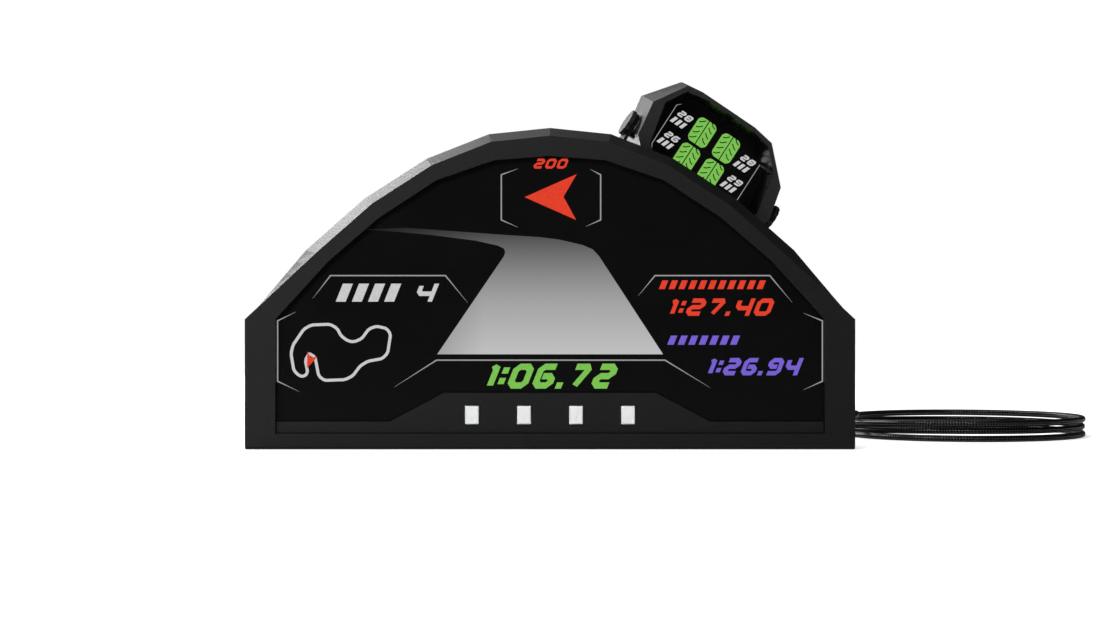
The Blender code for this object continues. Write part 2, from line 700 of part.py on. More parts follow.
def build_display():
    """Glass and display panel, both stepped over the key panel, and the carrier behind them."""
    place(plate("display_glass", GLASS_THICK, glass_outline), GLASS_BLACK,
          stand(FRONT_Y + glass_depth, GLASS_THICK))
    place(plate("lcd_panel", LCD_THICK, offset(glass_outline, -LCD_INSET)), LCD_GREY,
          stand(FRONT_Y + lcd_depth, LCD_THICK))
    window_half = key_board_half - 2 * POST_R
    window = [(window_half, key_board_low + GAP), (window_half, key_board_high - GAP)]
    carrier = place(plate("display_carrier", CARRIER_THICK, lapped, [mirrored(window)]), ABS_PANEL,
                    stand(FRONT_Y + carrier_depth, CARRIER_THICK))
    edge_line = offset(outer, -EDGE_POST_INSET)
    edge_posts = both_sides([(edge_line[0][0], EDGE_POST_Z), edge_line[2], edge_line[4]])
    main_x = MAIN_BOARD_HALF - MAIN_POST_INSET
    main_posts = both_sides([(main_x, MAIN_BOARD_LOW + MAIN_POST_INSET),
                             (main_x, MAIN_BOARD_HIGH - MAIN_POST_INSET)])
    key_x = key_board_half - POST_R
    key_posts = both_sides([(key_x, key_board_low + POST_R), (key_x, key_board_high - POST_R)])
    lines = []
    for places, reach in ((edge_posts, flange_depth), (main_posts, MAIN_BOARD_DEPTH),
                          (key_posts, key_board_depth)):
        lines += [backward(x, carrier_depth + GAP, z, reach - carrier_depth - 2 * GAP, POST_R)
                  for x, z in places]
    combine(carrier, "UNION", rods("carrier_posts", lines))


def build_key_panel():
    """Panel below the screen: a flange behind the bezel and a raised face in its opening."""
    limit = opening_half - GAP
    face = [(min(max(x, -limit), limit), max(z, OPENING_FOOT + GAP)) for x, z in offset(panel_base, -GAP)]
    panel = place(loft("button_panel", [
        ring_at(face, panel_depth), ring_at(face, glass_depth),
        ring_at(panel_base, glass_depth), ring_at(panel_base, panel_back)]), ABS_PANEL)
    combine(panel, "DIFFERENCE", boxes("key_holes", [
        box_at(x, z, KEY_WIDE + 2 * GAP, KEY_TALL + 2 * GAP, panel_depth - TOOL,
               panel_back - panel_depth + 2 * TOOL) for x, z in keys]))


def key_ring(grow, depth):
    """The outline of a key at a depth behind its own face."""
    outline = mirrored([(KEY_WIDE / 2 + grow, -KEY_TALL / 2 - grow), (KEY_WIDE / 2 + grow, KEY_TALL / 2 + grow)])
    return [(x, depth, z) for x, z in outline]


def build_keys():
    """Four keys with a rim and a post behind the panel, each with its switch on the key board."""
    rim = panel_back + GAP - key_depth
    for i, (x, z) in enumerate(keys, start=1):
        key = place(loft(f"key_{i}", [
            key_ring(-KEY_EDGE, 0.0), key_ring(0.0, KEY_EDGE), key_ring(0.0, rim),
            key_ring(KEY_RIM, rim), key_ring(KEY_RIM, rim + KEY_RIM)]), KEY_WHITE,
            Matrix.Translation((x, FRONT_Y + key_depth, z)))
        combine(key, "UNION", rods(f"key_post_{i}", [backward(x, key_depth + rim, z, key_end - key_depth - rim,
                                                              KEY_POST_R)]))
        combine(key, "DIFFERENCE", rods(f"key_port_{i}", [
            backward(x, key_depth - TOOL, z - KEY_PORT_DROP, TOOL + KEY_PORT_DEEP, KEY_PORT_R)]))
        place(boxes(f"switch_{i}", [box_at(x, z, SWITCH_SIDE, SWITCH_SIDE, switch_depth, SWITCH_THICK)]),
              ABS_PANEL)


def build_boards():
    """Key board and main board, with the processor and the wiring socket on the main board."""
    place(boxes("key_board", [box_at(0.0, KEY_Z, 2 * key_board_half, KEY_BOARD_TALL,
                                     key_board_depth, BOARD_THICK)]), BOARD_GREEN)
    middle = (MAIN_BOARD_LOW + MAIN_BOARD_HIGH) / 2
    place(boxes("main_board", [box_at(0.0, middle, 2 * MAIN_BOARD_HALF, MAIN_BOARD_HIGH - MAIN_BOARD_LOW,
                                      MAIN_BOARD_DEPTH, BOARD_THICK)]), BOARD_GREEN)
    place(boxes("processor", [box_at(0.0, CHIP_Z, CHIP_SIDE, CHIP_SIDE, main_board_back + GAP,
                                     CHIP_THICK)]), ABS_PANEL)
    place(boxes("board_socket", [box_at(MAIN_BOARD_HALF - PLUG_SOCKET_INSET, MAIN_BOARD_LOW + PLUG_SOCKET_RISE,
                                        PLUG_SOCKET_WIDE, PLUG_SOCKET_TALL, main_board_back + GAP,
                                        PLUG_SOCKET_THICK)]), KEY_WHITE)


def build_rear_housing():
    """Can with its flange, the bosses for the cover, the pad's pocket and the pod's hole."""
    flange = offset(outer, -FLANGE_INSET, foot=-FLANGE_LIFT)
    housing = place(loft("rear_housing", [
        ring_at(flange, flange_depth), ring_at(flange, can_start),
        ring_at(can_outline, can_start), ring_at(can_outline, can_end)]), ABS_BLACK)
    hollow = can_end - flange_depth + 2 * TOOL
    combine(housing, "DIFFERENCE", plate("housing_cavity", hollow, can_inside),
            stand(FRONT_Y + flange_depth - TOOL, hollow))
    combine(housing, "UNION", rods("cover_bosses", [
        backward(x, can_end - COVER_BOSS_LONG, z, COVER_BOSS_LONG - GAP, BOSS_R) for x, z in cover_screws]))
    combine(housing, "DIFFERENCE", rods("housing_screw_holes", [
        *[backward(x, flange_depth - TOOL, z, FLANGE_THICK + 2 * TOOL, SCREW_R + SCREW_PLAY)
          for x, z in flange_screws],
        *[backward(x, cover_back - screw_reach, z, screw_reach, SCREW_R + SCREW_PLAY)
          for x, z in cover_screws]]))
    combine(housing, "DIFFERENCE", rods("flange_counterbores", [
        backward(x, can_start - counterbore, z, counterbore + TOOL, SCREW_HEAD_R + SCREW_PLAY)
        for x, z in flange_screws]))
    pad_half = HALF_WIDTH - PAD_SIDE_INSET
    combine(housing, "DIFFERENCE", boxes("pad_pocket", [
        ((-pad_half - GAP, -PAD_HALF_DEPTH - GAP, -TOOL),
         (pad_half + GAP, PAD_HALF_DEPTH + GAP, PAD_THICK + GAP))]))
    combine(housing, "DIFFERENCE", rods("spigot_hole", [
        ((0, 0, facet_level + TOOL), (0, 0, facet_level - CAN_WALL - TOOL), SPIGOT_R + GAP)]), foot_matrix)
    place(boxes("base_pad", [((-pad_half, -PAD_HALF_DEPTH, 0.0),
                              (pad_half, PAD_HALF_DEPTH, PAD_THICK))]), RUBBER)


def build_rear_cover():
    """Bevelled cover with its insert bosses, vents, screw holes and gland hole."""
    cover = place(loft("rear_cover", [
        ring_at(can_outline, cover_depth), ring_at(can_outline, cover_back - COVER_BEVEL),
        ring_at(offset(can_outline, -COVER_BEVEL), cover_back)]), ABS_BLACK)
    boss_depth = cover_back - INSERT_LONG - GAP - INSERT_BOSS_FLOOR
    combine(cover, "UNION", rods("insert_bosses", [
        backward(x, boss_depth, z, cover_depth - boss_depth + TOOL, INSERT_BOSS_R) for x, z in inserts]))
    combine(cover, "DIFFERENCE", rods("cover_holes", [
        *[backward(x, cover_back - INSERT_LONG - GAP, z, INSERT_LONG + GAP + TOOL, INSERT_R + GAP)
          for x, z in inserts],
        *[backward(x, cover_depth - TOOL, z, COVER_THICK + 2 * TOOL, SCREW_R + SCREW_PLAY)
          for x, z in cover_screws],
        backward(gland_x, cover_depth - TOOL, GLAND_Z, COVER_THICK + 2 * TOOL, GLAND_R + GAP)]))
    combine(cover, "DIFFERENCE", rods("cover_counterbores", [
        backward(x, cover_back - counterbore, z, counterbore + TOOL, SCREW_HEAD_R + SCREW_PLAY)
        for x, z in cover_screws]))
    vents = both_sides([(vent_mid + (i - (VENT_COUNT - 1) / 2) * VENT_PITCH, INSERT_MID_Z)
                        for i in range(VENT_COUNT)])
    combine(cover, "DIFFERENCE", boxes("vents", [
        box_at(x, z, VENT_WIDE, VENT_TALL, cover_depth - TOOL, COVER_THICK + 2 * TOOL) for x, z in vents]))
    insert = [(INSERT_R, 0.0), (INSERT_R, -INSERT_LONG), (INSERT_BORE_R, -INSERT_LONG), (INSERT_BORE_R, 0.0)]
    for i, (x, z) in enumerate(inserts, start=1):
        place(turned(f"mount_insert_{i}", insert, steps=24), BRASS,
              Matrix.Translation((x, FRONT_Y + cover_back, z)) @ BACKWARD)


def build_housing_screws():
    """Screws of the flange and of the cover, all driven from behind."""
    for kind, places, face in (("flange", flange_screws, can_start), ("cover", cover_screws, cover_back)):
        for i, (x, z) in enumerate(places, start=1):
            made = screw(f"{kind}_screw_{i}", SCREW_HEAD_R, SCREW_HEAD, SCREW_R, SCREW_LONG,
                         SCREW_SOCKET_R, SCREW_SOCKET)
            place(made, BLACK_STEEL, Matrix.Translation((x, FRONT_Y + face - SCREW_SUNK, z)) @ BACKWARD)


def build_pod(tilt):
    """Hood whose top climbs backwards, with its flared mouth, the display stack and the rear cover."""
    hood = place(loft("pod_hood", [pod_ring(POD_HALF, POD_FRONT), pod_ring(POD_HALF_BACK, POD_BACK)]),
                 ABS_BLACK, parent=tilt)
    combine(hood, "UNION", rods("pivot_bosses", [((-PIVOT_FACE, 0, 0), (PIVOT_FACE, 0, 0), PIVOT_BOSS_R)]))
    combine(hood, "DIFFERENCE", rods("washer_seats", [
        ((side * PIVOT_FACE, 0, 0), (side * (PIVOT_FACE + TOOL), 0, 0), PIVOT_BOSS_R + GAP)
        for side in (1, -1)]))
    combine(hood, "DIFFERENCE", loft("mouth", [
        pod_ring(POD_MOUTH, POD_FRONT - TOOL), pod_ring(POD_MOUTH, POD_FRONT),
        pod_ring(POD_MOUTH_BACK, ledge_y), pod_ring(POD_MOUTH_BACK, POD_BACK + TOOL)]))
    pocket = POD_BACK - ledge_y + TOOL
    combine(hood, "DIFFERENCE", plate("display_pocket", pocket, pod_outline(POD_MOUTH_BACK, POD_LEDGE)),
            stand(ledge_y, pocket))
    combine(hood, "DIFFERENCE", rods("hood_holes", [
        *[((side * (PIVOT_FACE - STUD_DEEP - STUD_END_PLAY), 0, 0), (side * (PIVOT_FACE + TOOL), 0, 0),
           STUD_R + GAP) for side in (1, -1)],
        *[((x, pod_cover_back - pod_screw_reach, z), (x, POD_BACK + TOOL, z), POD_SCREW_R + SCREW_PLAY)
          for x, z in pod_screws]]))
    stack = pod_outline(POD_MOUTH_BACK, POD_LEDGE - GAP)
    place(plate("pod_lens", POD_LENS_THICK, stack), GLASS_BLACK, stand(lens_y, POD_LENS_THICK), tilt)
    place(plate("pod_lcd", POD_LCD_THICK, stack), LCD_GREY, stand(pod_lcd_y, POD_LCD_THICK), tilt)
    place(plate("pod_board", BOARD_THICK, stack), BOARD_GREEN, stand(pod_board_y, BOARD_THICK), tilt)

    cover = place(loft("pod_rear_cover", [
        pod_ring(POD_HALF_BACK, pod_cover_y), pod_ring(POD_HALF_BACK, pod_cover_back - POD_COVER_BEVEL),
        pod_ring(POD_HALF_BACK, pod_cover_back, -POD_COVER_BEVEL)]), ABS_BLACK, parent=tilt)
    hollow = POD_COVER_LONG - POD_COVER_SKIN + TOOL
    combine(cover, "DIFFERENCE", plate("cover_hollow", hollow, pod_outline(POD_MOUTH_BACK)),
            stand(pod_cover_y - TOOL, hollow))
    posts = [(side * POD_POST_X - POD_RAKE * z, z) for side in (1, -1) for z in POD_POST_Z]
    combine(cover, "UNION", rods("cover_posts", [
        ((x, pod_board_y + BOARD_THICK + GAP, z), (x, pod_cover_back - POD_COVER_SKIN / 2, z), POD_POST_R)
        for x, z in posts]))
    combine(cover, "DIFFERENCE", rods("pod_cover_holes", [
        ((x, pod_cover_y - TOOL, z), (x, pod_cover_back + TOOL, z), POD_SCREW_R + SCREW_PLAY)
        for x, z in pod_screws]))
    combine(cover, "DIFFERENCE", rods("pod_cover_counterbores", [
        ((x, pod_cover_back - pod_counterbore, z), (x, pod_cover_back + TOOL, z),
         POD_SCREW_HEAD_R + SCREW_PLAY) for x, z in pod_screws]))
    for i, (x, z) in enumerate(pod_screws, start=1):
        made = screw(f"pod_screw_{i}", POD_SCREW_HEAD_R, POD_SCREW_HEAD, POD_SCREW_R, POD_SCREW_LONG,
                     POD_SCREW_SOCKET_R, POD_SCREW_SOCKET)
        place(made, BLACK_STEEL, Matrix.Translation((x, pod_cover_back - SCREW_SUNK, z)) @ BACKWARD, tilt)


def build_yoke(swivel):
    """Bent yoke with round arms, and the friction washers inside them."""
    section = channel(yoke_x, yoke_bottom, YOKE_HALF_DEPTH)
    yoke = place(plate("pod_yoke", 2 * YOKE_HALF_DEPTH, section), BLACK_STEEL,
                 stand(-YOKE_HALF_DEPTH, 2 * YOKE_HALF_DEPTH), swivel)
    arm = [(y, z) for y, z in circle(YOKE_HALF_DEPTH) if z > -TOOL / 2]
    side = [(-YOKE_HALF_DEPTH, yoke_bottom - TOOL), (YOKE_HALF_DEPTH, yoke_bottom - TOOL), *arm]
    combine(yoke, "INTERSECT", plate("yoke_side", 2 * (yoke_x + YOKE_SHEET + TOOL), side), SIDEWAYS)
    reach = yoke_x + YOKE_SHEET + TOOL
    combine(yoke, "DIFFERENCE", rods("yoke_holes", [
        ((-reach, 0, 0), (reach, 0, 0), STUD_R + GAP),
        ((0, 0, yoke_bottom - TOOL), (0, 0, yoke_top + TOOL), SWIVEL_R + GAP)]))
    for name, side in (("left", -1), ("right", 1)):
        middle = Matrix.Translation((side * (washer_x + WASHER_THICK / 2), 0, 0))
        place(plate(f"friction_washer_{name}", WASHER_THICK, circle(WASHER_R), [circle(STUD_R + GAP)]),
              STEEL, middle @ SIDEWAYS, swivel)


def build_knobs(tilt):
    """Lobed knobs whose studs clamp the hood between the arms of the yoke."""
    turns = [math.tau * i / (4 * KNOB_LOBES) for i in range(4 * KNOB_LOBES)]
    radii = [KNOB_R + KNOB_LOBE * math.cos(KNOB_LOBES * turn) for turn in turns]
    outline = [(radius * math.cos(turn), radius * math.sin(turn)) for radius, turn in zip(radii, turns)]
    for name, side in (("left", -1), ("right", 1)):
        middle = Matrix.Translation((side * (knob_x + KNOB_THICK / 2), 0, 0))
        knob = place(plate(f"pivot_knob_{name}", KNOB_THICK, outline), ABS_BLACK, middle @ SIDEWAYS, tilt)
        edges = knob.modifiers.new("Edges", "BEVEL")
        edges.width = KNOB_EDGE
        edges.limit_method = "ANGLE"
        edges.angle_limit = math.radians(60)
        combine(knob, "UNION", rods(f"stud_{name}", [
            ((side * (PIVOT_FACE - STUD_DEEP), 0, 0), (side * (knob_x + KNOB_THICK / 2), 0, 0), STUD_R)]))


def build_foot(foot):
    """Pedestal on the arch, its nut inside the housing and the screw that the yoke turns on."""
    bore = SWIVEL_R + GAP
    spigot_end = pedestal_foot - SPIGOT_LONG
    place(turned("pod_pedestal", [
        (PEDESTAL_R, pedestal_top), (PEDESTAL_R, pedestal_foot), (SPIGOT_R, pedestal_foot),
        (SPIGOT_R, spigot_end), (bore, spigot_end), (bore, pedestal_top)]), ABS_BLACK, parent=foot)
    nut_top = facet_level - CAN_WALL - GAP
    place(plate("pedestal_nut", PEDESTAL_NUT_THICK, circle(PEDESTAL_NUT_R, 6), [circle(SPIGOT_R + GAP)]),
          BLACK_STEEL, Matrix.Translation((0, 0, nut_top - PEDESTAL_NUT_THICK / 2)), foot)
    made = screw("swivel_screw", SWIVEL_HEAD_R, SWIVEL_HEAD, SWIVEL_R, SWIVEL_LONG,
                 SWIVEL_SOCKET_R, SWIVEL_SOCKET)
    place(made, STEEL, Matrix.Translation((0, 0, yoke_top + GAP + SWIVEL_HEAD)), foot)


def build_gland():
    """Gland through the rear cover with its nut, and the grooved boot on the cord."""
    hex_depth = cover_back + GAP
    gland = place(plate("gland_body", GLAND_HEX_THICK, circle(GLAND_HEX_R, 6)), ABS_BLACK,
                  stand(FRONT_Y + hex_depth, GLAND_HEX_THICK, gland_x, GLAND_Z))
    combine(gland, "UNION", rods("gland_thread", [
        backward(gland_x, hex_depth - GLAND_LONG, GLAND_Z, GLAND_LONG + TOOL, GLAND_R)]))
    combine(gland, "DIFFERENCE", rods("gland_bore", [
        backward(gland_x, hex_depth - GLAND_LONG - TOOL, GLAND_Z, GLAND_LONG + GLAND_HEX_THICK + 2 * TOOL,
                 GLAND_BORE_R)]))
    nut_depth = cover_depth - GAP - GLAND_NUT_THICK
    place(plate("gland_nut", GLAND_NUT_THICK, circle(GLAND_HEX_R, 6), [circle(GLAND_R + GAP)]), ABS_BLACK,
          stand(FRONT_Y + nut_depth, GLAND_NUT_THICK, gland_x, GLAND_Z))
    boot_y = FRONT_Y + hex_depth + GLAND_HEX_THICK + GAP
    pitch = BOOT_LONG / (BOOT_GROOVES + 1)
    profile = [(0.0, BOOT_LONG), (BOOT_TIP_R, BOOT_LONG)]
    for i in range(1, BOOT_GROOVES + 1):
        middle = BOOT_LONG - i * pitch
        for rise, deep in ((0.3, 0.0), (0.15, BOOT_GROOVE), (-0.15, BOOT_GROOVE), (-0.3, 0.0)):
            height = middle + rise * pitch
            radius = BOOT_BASE_R + (BOOT_TIP_R - BOOT_BASE_R) * height / BOOT_LONG
            profile.append((radius - deep, height))
    profile += [(BOOT_BASE_R, 0.0), (0.0, 0.0)]
    place(turned("cable_boot", profile, steps=16), RUBBER,
          Matrix.Translation((gland_x, boot_y, GLAND_Z)) @ BACKWARD)
    return Vector((gland_x, boot_y + BOOT_LONG + GAP, GLAND_Z))


def build_cord(start):
    """The lead from its boot to the coil, the coil, and the tail to the plug."""
    run = 2 * CORD_R
    coil = coil_route()
    lead_end = coil[0] + Vector((0, GAP, 0))
    tail_start = coil[-1] - Vector((0, GAP, 0))
    tail_end = Vector((PLUG_X + GAP, PLUG_Y, PLUG_R + PLUG_LIFT))
    lead = smooth_route([start, start + Vector((0, run, 0)), *map(Vector, in_mm(LEAD_KNOTS)),
                         lead_end + Vector((0, run, 0)), lead_end])
    tail = smooth_route([tail_start, tail_start - Vector((0, run, 0)), *map(Vector, in_mm(TAIL_KNOTS)),
                         tail_end + Vector((run, 0, 0)), tail_end])
    place(tube("cable_lead", lead, 2), BRAID)
    place(tube("cable_coil", coil, 1), BRAID)
    place(tube("cable_tail", tail, 2), BRAID)
    total = sum(route_length(points) for points in (lead, coil, tail))
    print(f"cord {total:.3f} m, least gap between its loops {least_gap(coil) / MM:.2f} mm")


def build_plug():
    """Moulded plug with its neck, and its hollow metal sleeve."""
    matrix = Matrix.Translation((PLUG_X, PLUG_Y, PLUG_R + PLUG_LIFT)) @ Matrix.Rotation(math.radians(90), 4, "Y")
    place(turned("plug_body", [
        (0.0, 0.0), (PLUG_NECK_R, 0.0), (PLUG_NECK_R, -PLUG_NECK_LONG),
        (PLUG_R, -PLUG_NECK_LONG - PLUG_SHOULDER), (PLUG_R, -PLUG_LONG), (0.0, -PLUG_LONG)]), RUBBER, matrix)
    near, far = -PLUG_LONG - GAP, -PLUG_LONG - GAP - SLEEVE_LONG
    place(turned("plug_sleeve", [(SLEEVE_R, near), (SLEEVE_R, far), (SLEEVE_BORE_R, far),
                                 (SLEEVE_BORE_R, near)], steps=24), STEEL, matrix)


clear_scene()
build_bezel()
build_display()
build_key_panel()
build_keys()
build_boards()
build_rear_housing()
build_rear_cover()
build_housing_screws()

foot_axis = axis("pod_foot_axis", foot_matrix)
swivel_axis = axis("pod_swivel_axis", Matrix.Rotation(POD_YAW, 4, "Z"), foot_axis)
tilt_axis = axis("pod_tilt_axis", Matrix.Identity(4), swivel_axis)
build_foot(foot_axis)
build_yoke(swivel_axis)
build_knobs(tilt_axis)
build_pod(tilt_axis)

build_cord(build_gland())
build_plug()
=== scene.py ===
"""Looks of the desk-top lap counter: an arched housing with its screen, four keys, a small
tilting pod on its shoulder and a braided lead. Sizes are in metres, written in millimetres."""

import json
import math

import bpy
from mathutils import Matrix, Vector


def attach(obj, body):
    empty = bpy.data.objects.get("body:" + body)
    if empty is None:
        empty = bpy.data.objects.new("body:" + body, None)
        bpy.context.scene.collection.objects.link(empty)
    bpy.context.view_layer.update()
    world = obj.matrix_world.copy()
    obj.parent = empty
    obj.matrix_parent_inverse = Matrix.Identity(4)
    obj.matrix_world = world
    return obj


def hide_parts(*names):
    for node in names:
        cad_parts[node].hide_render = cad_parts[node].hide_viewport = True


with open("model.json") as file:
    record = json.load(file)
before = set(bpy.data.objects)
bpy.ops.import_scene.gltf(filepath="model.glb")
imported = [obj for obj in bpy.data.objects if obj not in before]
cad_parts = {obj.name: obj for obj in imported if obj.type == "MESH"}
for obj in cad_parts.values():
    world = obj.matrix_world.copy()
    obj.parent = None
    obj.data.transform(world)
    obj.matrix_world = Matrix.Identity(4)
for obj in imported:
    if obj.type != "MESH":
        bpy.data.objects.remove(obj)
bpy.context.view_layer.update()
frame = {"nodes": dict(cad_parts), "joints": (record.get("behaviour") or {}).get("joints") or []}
MM = 0.001


# --- Camera: level with the middle of the housing, square to its front, about a metre away,
# --- so that the arch's flared edge shows all round and the coil lies open at the right.
CAMERA_HEIGHT = 64.2 * MM
CAMERA_DEPTH = -1051.0 * MM
SENSOR_WIDE = 36
FOCAL_LENGTH = 72.3
NEAREST = 10 * MM

bpy.ops.object.camera_add(location=(0, CAMERA_DEPTH, CAMERA_HEIGHT), rotation=(math.radians(90), 0, 0))
camera = bpy.context.object
camera.data.sensor_width = SENSOR_WIDE
camera.data.lens = FOCAL_LENGTH
camera.data.clip_start = NEAREST
bpy.context.scene.camera = camera
bpy.context.scene.view_settings.view_transform = "Standard"


# --- Lead: 3.2 mm cord in a black braided sleeve, led round to a coil of three loops beside the
# --- housing and back to its plug behind it. The sleeve is two sets of strands, woven over and
# --- under each other. Where a strand comes over it is glossier and catches the lamps in a small
# --- bright spot, and its colour there is painted a little lighter, a painted highlight.
CORD_R = 1.6 * MM
CORD_LIFT = 0.05 * MM
CORD_STEP = 7.0 * MM
COIL_CENTRE = Vector((211 * MM, 77 * MM))
COIL_R = 60.9 * MM
COIL_STEP = 3.7 * MM
COIL_LAYERS = 3
COIL_POINTS = 24
JOIN_GAP = 0.3 * MM
BOOT_END = Vector((110 * MM, 52.9 * MM, 20 * MM))
PLUG_START = Vector((92.3 * MM, 39 * MM, 5.3 * MM))
LEAD_KNOTS = [(110, 62, 19.5), (110, 75, 14), (111, 89, 6), (116, 102, 2.3), (127, 109.5, 1.65),
              (139.5, 106, 1.65), (147.5, 95, 1.65)]
TAIL_KNOTS = [(154.5, 66, 10.9), (154.1, 61, 11.8), (152, 54.5, 11.5), (147.5, 49, 8.5), (140.5, 44.8, 5),
              (131, 41.5, 2.4), (119, 39.4, 1.8), (106, 39, 2.8)]
BRAID_PITCH = 2.8 * MM
BRAID_STRANDS = 8
TUBE_SIDES = 16


def smooth_row(points, steps):
    """A smooth curve through a row of points, with so many steps from one to the next."""
    ends = [2 * points[0] - points[1], *points, 2 * points[-1] - points[-2]]
    row = []
    for before, a, b, after in zip(ends, ends[1:], ends[2:], ends[3:]):
        for i in range(steps):
            t = i / steps
            square = (2 * before - 5 * a + 4 * b - after) * t ** 2
            cube = (3 * a - before - 3 * b + after) * t ** 3
            row.append((2 * a + (b - before) * t + square + cube) / 2)
    return row + [points[-1]]


def row_length(points):
    """Length along a row of points."""
    return sum((b - a).length for a, b in zip(points, points[1:]))


def laid(points):
    """A free stretch: a straight run at each end, even steps between, never below the table."""
    fine = smooth_row(points, 40)[40:-40]
    total = row_length(fine)
    count = round(total / CORD_STEP)
    route, walked = [fine[0]], 0.0
    for a, b in zip(fine, fine[1:]):
        walked += (b - a).length
        if walked >= total * len(route) / count and len(route) < count:
            route.append(b)
    for point in route:
        point.z = max(point.z, CORD_R + CORD_LIFT)
    return [points[0], *route, points[-2], points[-1]]


def coil():
    """Three loops that spiral in and out again, each a cord's thickness above the last."""
    points = []
    for i in range(COIL_LAYERS * COIL_POINTS + 1):
        turns = i / COIL_POINTS
        radius = COIL_R - COIL_STEP * (1 - abs(turns % 2 - 1))
        climbs = [min(max((turns - turn + 0.25) * 2, 0.0), 1.0) for turn in range(1, COIL_LAYERS)]
        height = CORD_R + CORD_LIFT + COIL_STEP * sum(c * c * (3 - 2 * c) for c in climbs)
        angle = math.pi + math.tau * turns
        points.append(Vector((COIL_CENTRE.x + radius * math.cos(angle),
                              COIL_CENTRE.y + radius * math.sin(angle), height)))
    straight = Vector((0, 2 * CORD_R, 0))
    return [points[0] + straight, *points, points[-1] - straight]


run = Vector((0, 2 * CORD_R, 0))
loops = coil()
lead_end, tail_start = loops[0] + Vector((0, JOIN_GAP, 0)), loops[-1] - Vector((0, JOIN_GAP, 0))
lead = laid([BOOT_END, BOOT_END + run, *[Vector(p) * MM for p in LEAD_KNOTS], lead_end + run, lead_end])
tail = laid([tail_start, tail_start - run, *[Vector(p) * MM for p in TAIL_KNOTS],
             PLUG_START + Vector((2 * CORD_R, 0, 0)), PLUG_START])
cord_line = smooth_row([*lead, *loops, *tail], 4)


def tube(name, line, radius):
    """A round tube along a line, with a UV map in metres along it and in turns round it."""
    rings, side = [], Vector((0, 0, 1))
    for i, point in enumerate(line):
        along = (line[min(i + 1, len(line) - 1)] - line[max(i - 1, 0)]).normalized()
        side = (side - along * side.dot(along)).normalized()
        other = along.cross(side)
        turns = [math.tau * j / TUBE_SIDES for j in range(TUBE_SIDES)]
        rings.append([point + radius * (side * math.cos(t) + other * math.sin(t)) for t in turns])
    verts = [corner for ring in rings for corner in ring]
    faces, uvs, walked = [], [], 0.0
    for i in range(len(rings) - 1):
        ahead = walked + (line[i + 1] - line[i]).length
        for j in range(TUBE_SIDES):
            nxt = (j + 1) % TUBE_SIDES
            a, b = i * TUBE_SIDES, (i + 1) * TUBE_SIDES
            faces.append((a + j, a + nxt, b + nxt, b + j))
            low, high = j / TUBE_SIDES, (j + 1) / TUBE_SIDES
            uvs += [(walked, low), (walked, high), (ahead, high), (ahead, low)]
        walked = ahead
    for first, turn in ((0, -1), (len(verts) - TUBE_SIDES, 1)):
        faces.append([first + j for j in range(TUBE_SIDES)][::turn])
        uvs += [(0, 0)] * TUBE_SIDES
    mesh = bpy.data.meshes.new(name)
    mesh.from_pydata(verts, [], faces)
    layer = mesh.uv_layers.new(name="braid")
    for place, uv in zip(layer.uv, uvs):
        place.vector = uv
    mesh.shade_smooth()
    made = bpy.data.objects.new(name, mesh)
    bpy.context.scene.collection.objects.link(made)
    return made


def linear(code):
    """A colour written in sRGB hex as the linear values that a shader takes."""
    parts = [int(code[i:i + 2], 16) / 255 for i in (1, 3, 5)]
    return [c / 12.92 if c <= 0.04045 else ((c + 0.055) / 1.055) ** 2.4 for c in parts] + [1.0]


def node(tree, kind, inputs=(), **settings):
    """Add a node with its settings; each input takes a value or another node's output."""
    made = tree.nodes.new(kind)
    for name, value in settings.items():
        setattr(made, name, value)
    for name, value in dict(inputs).items():
        if isinstance(value, bpy.types.NodeSocket):
            tree.links.new(value, made.inputs[name])
        else:
            made.inputs[name].default_value = value
    return made


def material(name, **values):
    """A new material, its node tree and its shader with plain values on its own sockets."""
    made = bpy.data.materials.new(name)
    made.use_nodes = True
    tree = made.node_tree
    shader = tree.nodes["Principled BSDF"]
    for socket, value in values.items():
        shader.inputs[socket.replace("_", " ")].default_value = value
    return made, tree, shader


def feed(tree, shader, **outputs):
    """Join outputs to the shader's sockets."""
    for socket, output in outputs.items():
        tree.links.new(output, shader.inputs[socket.replace("_", " ")])


# Braided polyester sleeve: glossy black yarn whose strands stand up and catch the light in dots.
braid, tree, shader = material("braided_polyester_sleeve", IOR=1.6)
uv = node(tree, "ShaderNodeUVMap", uv_map="braid")
parts = node(tree, "ShaderNodeSeparateXYZ", {0: uv.outputs[0]})
along = node(tree, "ShaderNodeMath", {0: parts.outputs[0], 1: math.tau / BRAID_PITCH}, operation="MULTIPLY")
round_it = node(tree, "ShaderNodeMath", {0: parts.outputs[1], 1: math.tau * BRAID_STRANDS / 2},
                operation="MULTIPLY")
waves = []
for way_round in ("ADD", "SUBTRACT"):
    hand = node(tree, "ShaderNodeMath", {0: along.outputs[0], 1: round_it.outputs[0]}, operation=way_round)
    waves.append(node(tree, "ShaderNodeMath", {0: hand.outputs[0]}, operation="SINE"))
weave = node(tree, "ShaderNodeMath", {0: waves[0].outputs[0], 1: waves[1].outputs[0]}, operation="MULTIPLY")
shade = node(tree, "ShaderNodeMapRange", {0: weave.outputs[0], 1: -1.0, 2: 1.0})
# Colour runs from near black between strands to a little lighter where they come over: a painted highlight under
# the real glints.
colour = node(tree, "ShaderNodeMix", {0: shade.outputs[0], 6: linear("#020202"), 7: linear("#0b0b0c")},
              data_type="RGBA")
rough = node(tree, "ShaderNodeMapRange", {0: shade.outputs[0], 1: 0.3, 2: 0.8, 3: 0.6, 4: 0.16})
gloss = node(tree, "ShaderNodeMapRange", {0: shade.outputs[0], 1: 0.6, 2: 0.8, 3: 0.05, 4: 1.0})
bump = node(tree, "ShaderNodeBump", {"Height": shade.outputs[0], "Strength": 1.0, "Distance": 0.2 * MM})
